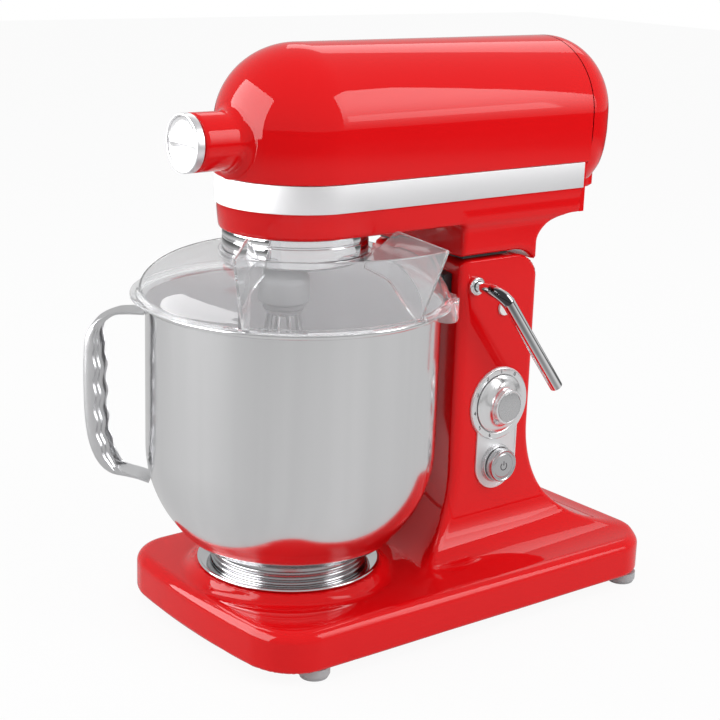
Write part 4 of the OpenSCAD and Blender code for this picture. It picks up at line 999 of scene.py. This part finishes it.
def make_handle():
    """Formed sheet handle: a trough-shaped grip with finger waves, and two flat arms."""
    turn = Matrix.Rotation(math.radians(HANDLE_ANGLE), 3, "Z")
    top = RIM_Z - 15
    # Outer edge of the sheet, then its inner edge: distance from the bowl's axis, height from the top.
    edges = [
        (112.2, 0, 112.2, -2), (126, 0, 126, -2), (136, -1.5, 135.6, -3.6), (149, -8, 144, -11.5),
        (156.8, -20, 146.2, -22), (159, -38, 144.2, -38), (159.3, -62, 143.8, -62),
        (158.5, -86, 143.2, -86), (155.5, -106, 141.5, -103), (149, -121, 137.5, -114.5),
        (139, -129.5, 133, -125.5), (126, -132, 125, -129.6), (118, -133.6, 117.6, -131.6),
        (109.2, -136.6, 108.8, -134.6)]
    path = smooth_path(edges, 150)
    width, sheet = 12, 1.6
    rows = []
    for ox, oz, ix, iz in path:
        deep = math.hypot(ix - ox, iz - oz)
        grip = float(np.clip((deep - 2.4) / 11, 0, 1))
        wave = grip * 0.055 * math.cos((oz + 46) * 2 * math.pi / 21)
        thin = min(sheet / deep, 0.8)
        half = [(0, 0), (width - 4, 0), (width - 1.2, 0.06), (width, 0.2), (width, 0.56 + wave),
                (width - 1.5 * grip, 0.64 + wave), (width - 1.5 * grip, 0.76 + wave),
                (width - 3 * grip, 0.84 + wave), (width - 3 * grip, 0.96 + wave),
                (width - 4.4 * grip, 1 + wave)]
        back = [(width - 5 * grip, 0.96 + wave), (width - sheet - 3.2 * grip, 0.80 + wave),
                (width - sheet - 1.5 * grip, 0.6 + wave), (width - sheet, 0.5), (width - sheet - 0.4, 0.25),
                (width - 4, thin), (0, thin)]
        back = [(u, 1 - (1 - v) * min(1, grip * 1.4)) for u, v in back]
        near = half + back
        ring = near + [(-u, v) for u, v in near[::-1] if u]
        for u, v in ring:
            rows.append(tuple(turn @ Vector((ox + (ix - ox) * v, u, top + oz + (iz - oz) * v))))
    tube("handle", rows, len(path), "bowl", HANDLE_STEEL, "polished_steel", ["bowl_handle"], smooth=50)


# ---- Controls ----

LOBE_R = 21.8
PLATE_R = 30.4


def plate_outline(inset):
    """The control plate's outline: a large round over a small one."""
    half, r = LOBE_R - inset, PLATE_R - inset
    join = math.degrees(math.acos(half / r))
    top = arc(DIAL.y, DIAL.z, r, -join, 180 + join, 48)
    foot = arc(BUTTON.y, BUTTON.z, half, 180, 360, 24)
    return top + foot


def make_plate():
    """The control plate with its ring of numbers."""
    x = PLATE_X
    levels = [(0, x - 1.5), (0, x - 0.4), (0.4, x), (1.8, x), (2.1, x - 0.4)]
    rows = [(h, y, z) for inset, h in levels for y, z in plate_outline(inset)]
    tube("panel_plate", rows, len(levels), "base", BRUSHED, "brushed_band", ["control_plate"], smooth=35)
    lathe("panel_ring", rounded([
        (24.5, x - 0.6), (29.9, x - 0.6), (29.9, x + 0.5), (28.9, x + 0.9), (24.9, x + 0.7), (24.5, x + 0.3)],
        [0, 0, 0.4, 0.5, 0.3, 0], 3), "base", DIAL_STEEL, "brushed_band", centre=(DIAL.y, DIAL.z), axis="x")
    mark_r, mark_size = 27, 0.0044
    for number, turn in enumerate((33, 0, -33, -66, -99, -130, -160)):
        a = math.radians(turn)
        text = bpy.data.curves.new("dial_mark_%d" % number, "FONT")
        text.body = str(number)
        text.size = mark_size
        text.extrude = 0.00004
        text.align_x = text.align_y = "CENTER"
        obj = bpy.data.objects.new(text.name, text)
        spot = Vector((x + 0.93, DIAL.y + mark_r * math.sin(a), DIAL.z + mark_r * math.cos(a))) / 1000 + AXIS
        obj.matrix_world = Matrix.Translation(spot) @ Matrix(((0, 0, 1), (1, 0, 0), (0, 1, 0))).to_4x4()
        obj.data.materials.append(INK)
        show(obj)
        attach(obj, "base")


def make_dial():
    """The speed dial and its bright cap."""
    x = PLATE_X
    spot = (DIAL.y, DIAL.z)
    lathe("dial_skirt", rounded([
        (0, x + 0.5), (23.9, x + 0.5), (23.9, x + 1.2), (21.5, x + 2.4), (17.5, x + 3.6), (14.9, x + 6),
        (14.3, x + 9), (14.3, x + 12.1), (13.7, x + 12.4), (12.4, x + 12.4), (12.2, x + 11.8), (0, x + 11.8)],
        [0, 0, 0.5, 2, 3, 2.5, 1, 0.5, 0.3, 0.2, 0, 0], 4), "dial", DIAL_STEEL, "satin_steel", ["dial_knob"],
        centre=spot, axis="x", smooth=35)
    lathe("dial_face", rounded([(0, x + 11.9), (11.9, x + 11.9), (11.9, x + 12.4), (0, x + 12.7)],
                               [0, 0, 0.4, 0], 3), "dial", SATIN, "polished_steel", ["dial_cap"],
          centre=spot, axis="x", smooth=35)


def make_button():
    """The power button in its collar, with the power symbol."""
    x, y, z = PLATE_X, BUTTON.y, BUTTON.z
    lathe("button_collar", rounded([
        (14.0, x - 0.6), (16.1, x - 0.6), (16.1, x + 0.4), (15.6, x + 0.4), (15.5, x + 2.4),
        (14.9, x + 3), (14.0, x + 3)], [0, 0, 0.2, 0.1, 0.4, 0.3, 0.2], 3),
        "base", SATIN, "satin_steel", ["button_bezel"], centre=(y, z), axis="x")
    top = x + 10
    lathe("button_press", rounded([
        (0, x + 3.4), (13.6, x + 3.4), (13.6, top - 0.7), (13.1, top), (12.4, top), (11.9, top - 0.5),
        (10.2, top - 0.9), (9.9, top - 0.6), (9.2, top - 0.3), (0, top - 0.3)],
        [0, 0, 0.4, 0.4, 0.2, 0.4, 0.3, 0.2, 0.3, 0], 3),
        "button", BUTTON_STEEL, "polished_steel", ["button_cap"], centre=(y, z), axis="x")
    face = top - 0.28
    turns = np.radians(np.linspace(130, 410, 33))
    ring = [(face, y + 3.2 * math.cos(a), z + 3.2 * math.sin(a) - 0.4) for a in turns]
    stroke = [(-0.38, -0.06), (0.38, -0.06), (0.38, 0.06), (-0.38, 0.06)]
    sweep("power_ring", ring, stroke, "button", INK, "black_plastic", up=(1, 0, 0))
    bar = [(face, y, z + h) for h in np.linspace(0.2, 3.8, 5)]
    sweep("power_bar", bar, stroke, "button", INK, "black_plastic", up=(1, 0, 0))


def make_lever():
    """Bent bright rod that comes out of its bush and hangs down along the column."""
    y, z, r = LOCK.y, LOCK.z, 3.75
    arm = 5.3
    end = high("lever_rod").y - arm * 0.794
    x = high("lever_rod").x - arm
    slope = math.radians(52.6)
    reach = (end - y) / math.cos(slope)
    tip = (x, y + reach * math.cos(slope), z - reach * math.sin(slope))
    line = rounded([(low("lever_rod").x, y, z), (x, y, z), tip], [0, 15, 0], 10, closed=False)
    path = smooth_path(line, 160)
    step = np.array(tip) - path[-2]
    step /= np.linalg.norm(step)
    path = np.concatenate([path[:-1], [np.array(tip) - step * 0.7, tip]])
    inside = (SIDE_X + 6 - low("lever_rod").x) / (x - low("lever_rod").x + reach)

    def section(t):
        grown = float(np.clip((t - inside) / 0.07, 0, 1))
        return circle(arm - 0.9 if t == 1 else r + (arm - r) * grown, 28)

    sweep("lever_bar", path, section, "lever", LEVER_STEEL_PAINTED_STRIPE, "polished_steel", ["lever_rod"], smooth=40)
    lathe("lever_collar", rounded([
        (4.2, SIDE_X - 8), (6.4, SIDE_X - 8), (6.4, SIDE_X + 0.2), (7.4, SIDE_X + 0.2), (7.4, SIDE_X + 3),
        (6.6, SIDE_X + 3.8), (4.2, SIDE_X + 3.8)], [0, 0, 0, 0.3, 0.8, 0.5, 0.5], 4),
        "base", SHINY, "polished_steel", ["lock_bush"], centre=(y, z), axis="x")


# ---- View, floor and light ----

def make_view():
    """The camera at the place and angle that the photograph was taken from."""
    across, down, roll = (math.radians(a) for a in (51.31, 15.65, 1.93))
    spot = Vector((954.7, -698.6, 543.3)) / 1000 + AXIS
    focal_px, frame_px, sensor = 1604, 720, 36
    right = Vector((math.cos(across), math.sin(across), 0))
    back = Vector((math.sin(across) * math.cos(down), -math.cos(across) * math.cos(down), math.sin(down)))
    up = back.cross(right)
    x = math.cos(roll) * right + math.sin(roll) * up
    y = -math.sin(roll) * right + math.cos(roll) * up
    data = bpy.data.cameras.new("camera")
    data.sensor_width = sensor
    data.lens = sensor * focal_px / frame_px
    data.clip_start, data.clip_end = 0.05, 20
    camera = bpy.data.objects.new("camera", data)
    camera.matrix_world = Matrix.Translation(spot) @ Matrix((x, y, back)).transposed().to_4x4()
    show(camera)
    bpy.context.scene.camera = camera


def see_white(add, link):
    """One for a ray that looks at the background straight, or through clear plastic."""
    seen = add("LightPath")
    either = add("Math", operation="MAXIMUM")
    link(seen.outputs["Is Camera Ray"], either.inputs[0])
    link(seen.outputs["Is Transmission Ray"], either.inputs[1])
    return seen, either.outputs[0]


def make_floor():
    """Plain pale floor: almost white where it is seen, and bright only near the mixer in reflections."""
    made, bsdf, add, link = shader("studio_floor")
    grain = noise(add, link, 40, 2)
    tint(add, link, bsdf, grain, (0.66, 0.66, 0.66), (0.70, 0.70, 0.70))
    set_values(bsdf, Roughness=0.6, Specular_IOR_Level=0.2)
    seen, white_share = see_white(add, link)
    white = add("Emission", Strength=1.0)
    where = add("TexCoord")
    away = add("VectorMath", operation="LENGTH")
    link(where.outputs["Object"], away.inputs[0])
    glow = spread(add, link, away.outputs["Value"], 0.6, 0.06, 1.2, 2.0, "SMOOTHSTEP")
    mirrored = add("Emission")
    link(glow, mirrored.inputs["Strength"])
    below = mixed(add, link, times(add, link, seen.outputs["Is Glossy Ray"], 0.88), bsdf, mirrored)
    surface(made, link, mixed(add, link, times(add, link, white_share, 0.93), below, white))
    mesh = bpy.data.meshes.new("floor")
    half = 6
    corners = [(-half, -half, 0), (half, -half, 0), (half, half, 0), (-half, half, 0)]
    mesh.from_pydata(corners, [], [(0, 1, 2, 3)])
    floor = bpy.data.objects.new("floor", mesh)
    floor.data.materials.append(made)
    show(floor)


def lamp(name, turn, rise, distance, size, glow, fade=0.0, shown=True, lights=True):
    """A softbox at a direction in degrees; it may fade downwards, only light, or only be mirrored."""
    a, e = math.radians(turn), math.radians(rise)
    way = Vector((math.cos(a) * math.cos(e), math.sin(a) * math.cos(e), math.sin(e)))
    data = bpy.data.lights.new(name, "AREA")
    data.shape = "RECTANGLE"
    data.size, data.size_y = size
    data.energy = glow * math.pi * size[0] * size[1]
    if fade:
        data.use_nodes = True
        tree = data.node_tree
        add, link = node_adder(tree), tree.links.new
        spot = add("NewGeometry")
        apart = add("SeparateXYZ")
        link(spot.outputs["Parametric"], apart.inputs[0])
        ramp = spread(add, link, apart.outputs["Y"], 0.0, 1.0, 0.0, fade, "SMOOTHSTEP")
        link(ramp, tree.nodes["Emission"].inputs["Strength"])
    obj = bpy.data.objects.new(name, data)
    obj.location = AXIS + Vector((0, 0.08, 0.3)) + way * distance
    obj.rotation_euler = (-way).to_track_quat("-Z", "Y").to_euler()
    obj.visible_camera = False
    obj.visible_transmission = False
    obj.visible_glossy = shown
    obj.visible_diffuse = lights
    show(obj)


def make_light():
    """White where it is seen, a softer studio in reflections, and a plain fill for the rest."""
    world = bpy.data.worlds.new("studio")
    bpy.context.scene.world = world
    world.use_nodes = True
    tree = world.node_tree
    add, link = node_adder(tree), tree.links.new
    fill = tree.nodes["Background"]
    set_values(fill, Color=(1, 1, 1, 1), Strength=0.6)
    gloss = add("Background", Color=(1, 1, 1, 1), Strength=0.55)
    white = add("Background", Color=(1, 1, 1, 1), Strength=1.0)
    seen, white_share = see_white(add, link)
    inner = mixed(add, link, seen.outputs["Is Glossy Ray"], fill, gloss)
    outer = mixed(add, link, white_share, inner, white)
    link(outer.outputs[0], tree.nodes["World Output"].inputs["Surface"])
    lamp("front_gloss", -113, 19, 1.9, (2.3, 1.8), 6.6, lights=False)
    lamp("front_light", -113, 30, 1.9, (2.3, 1.8), 1.5, shown=False)
    lamp("right_gloss", 38, 20, 2.2, (0.95, 1.85), 5.0, 0.75, lights=False)
    lamp("right_strip", 40, 12, 2.1, (0.5, 0.25), 2.2, lights=False)
    lamp("right_light", 30, 24, 2.2, (0.95, 1.75), 4.4, shown=False)
    lamp("behind", 128, 38, 2.2, (1.6, 0.6), 1.3)
    lamp("above", -40, 80, 2.2, (1.5, 1.5), 1.6, shown=False)


for make in (make_view, dress_nodes, make_base, make_seat, make_bowl, make_handle, make_head_shell,
             make_housing, make_band, make_rear_cover, make_hub_cap, make_drum, make_whisk, make_guard,
             make_wing, make_chute, make_plate, make_dial, make_button, make_lever, make_floor, make_light):
    make()
bpy.context.scene.view_settings.view_transform = "Standard"
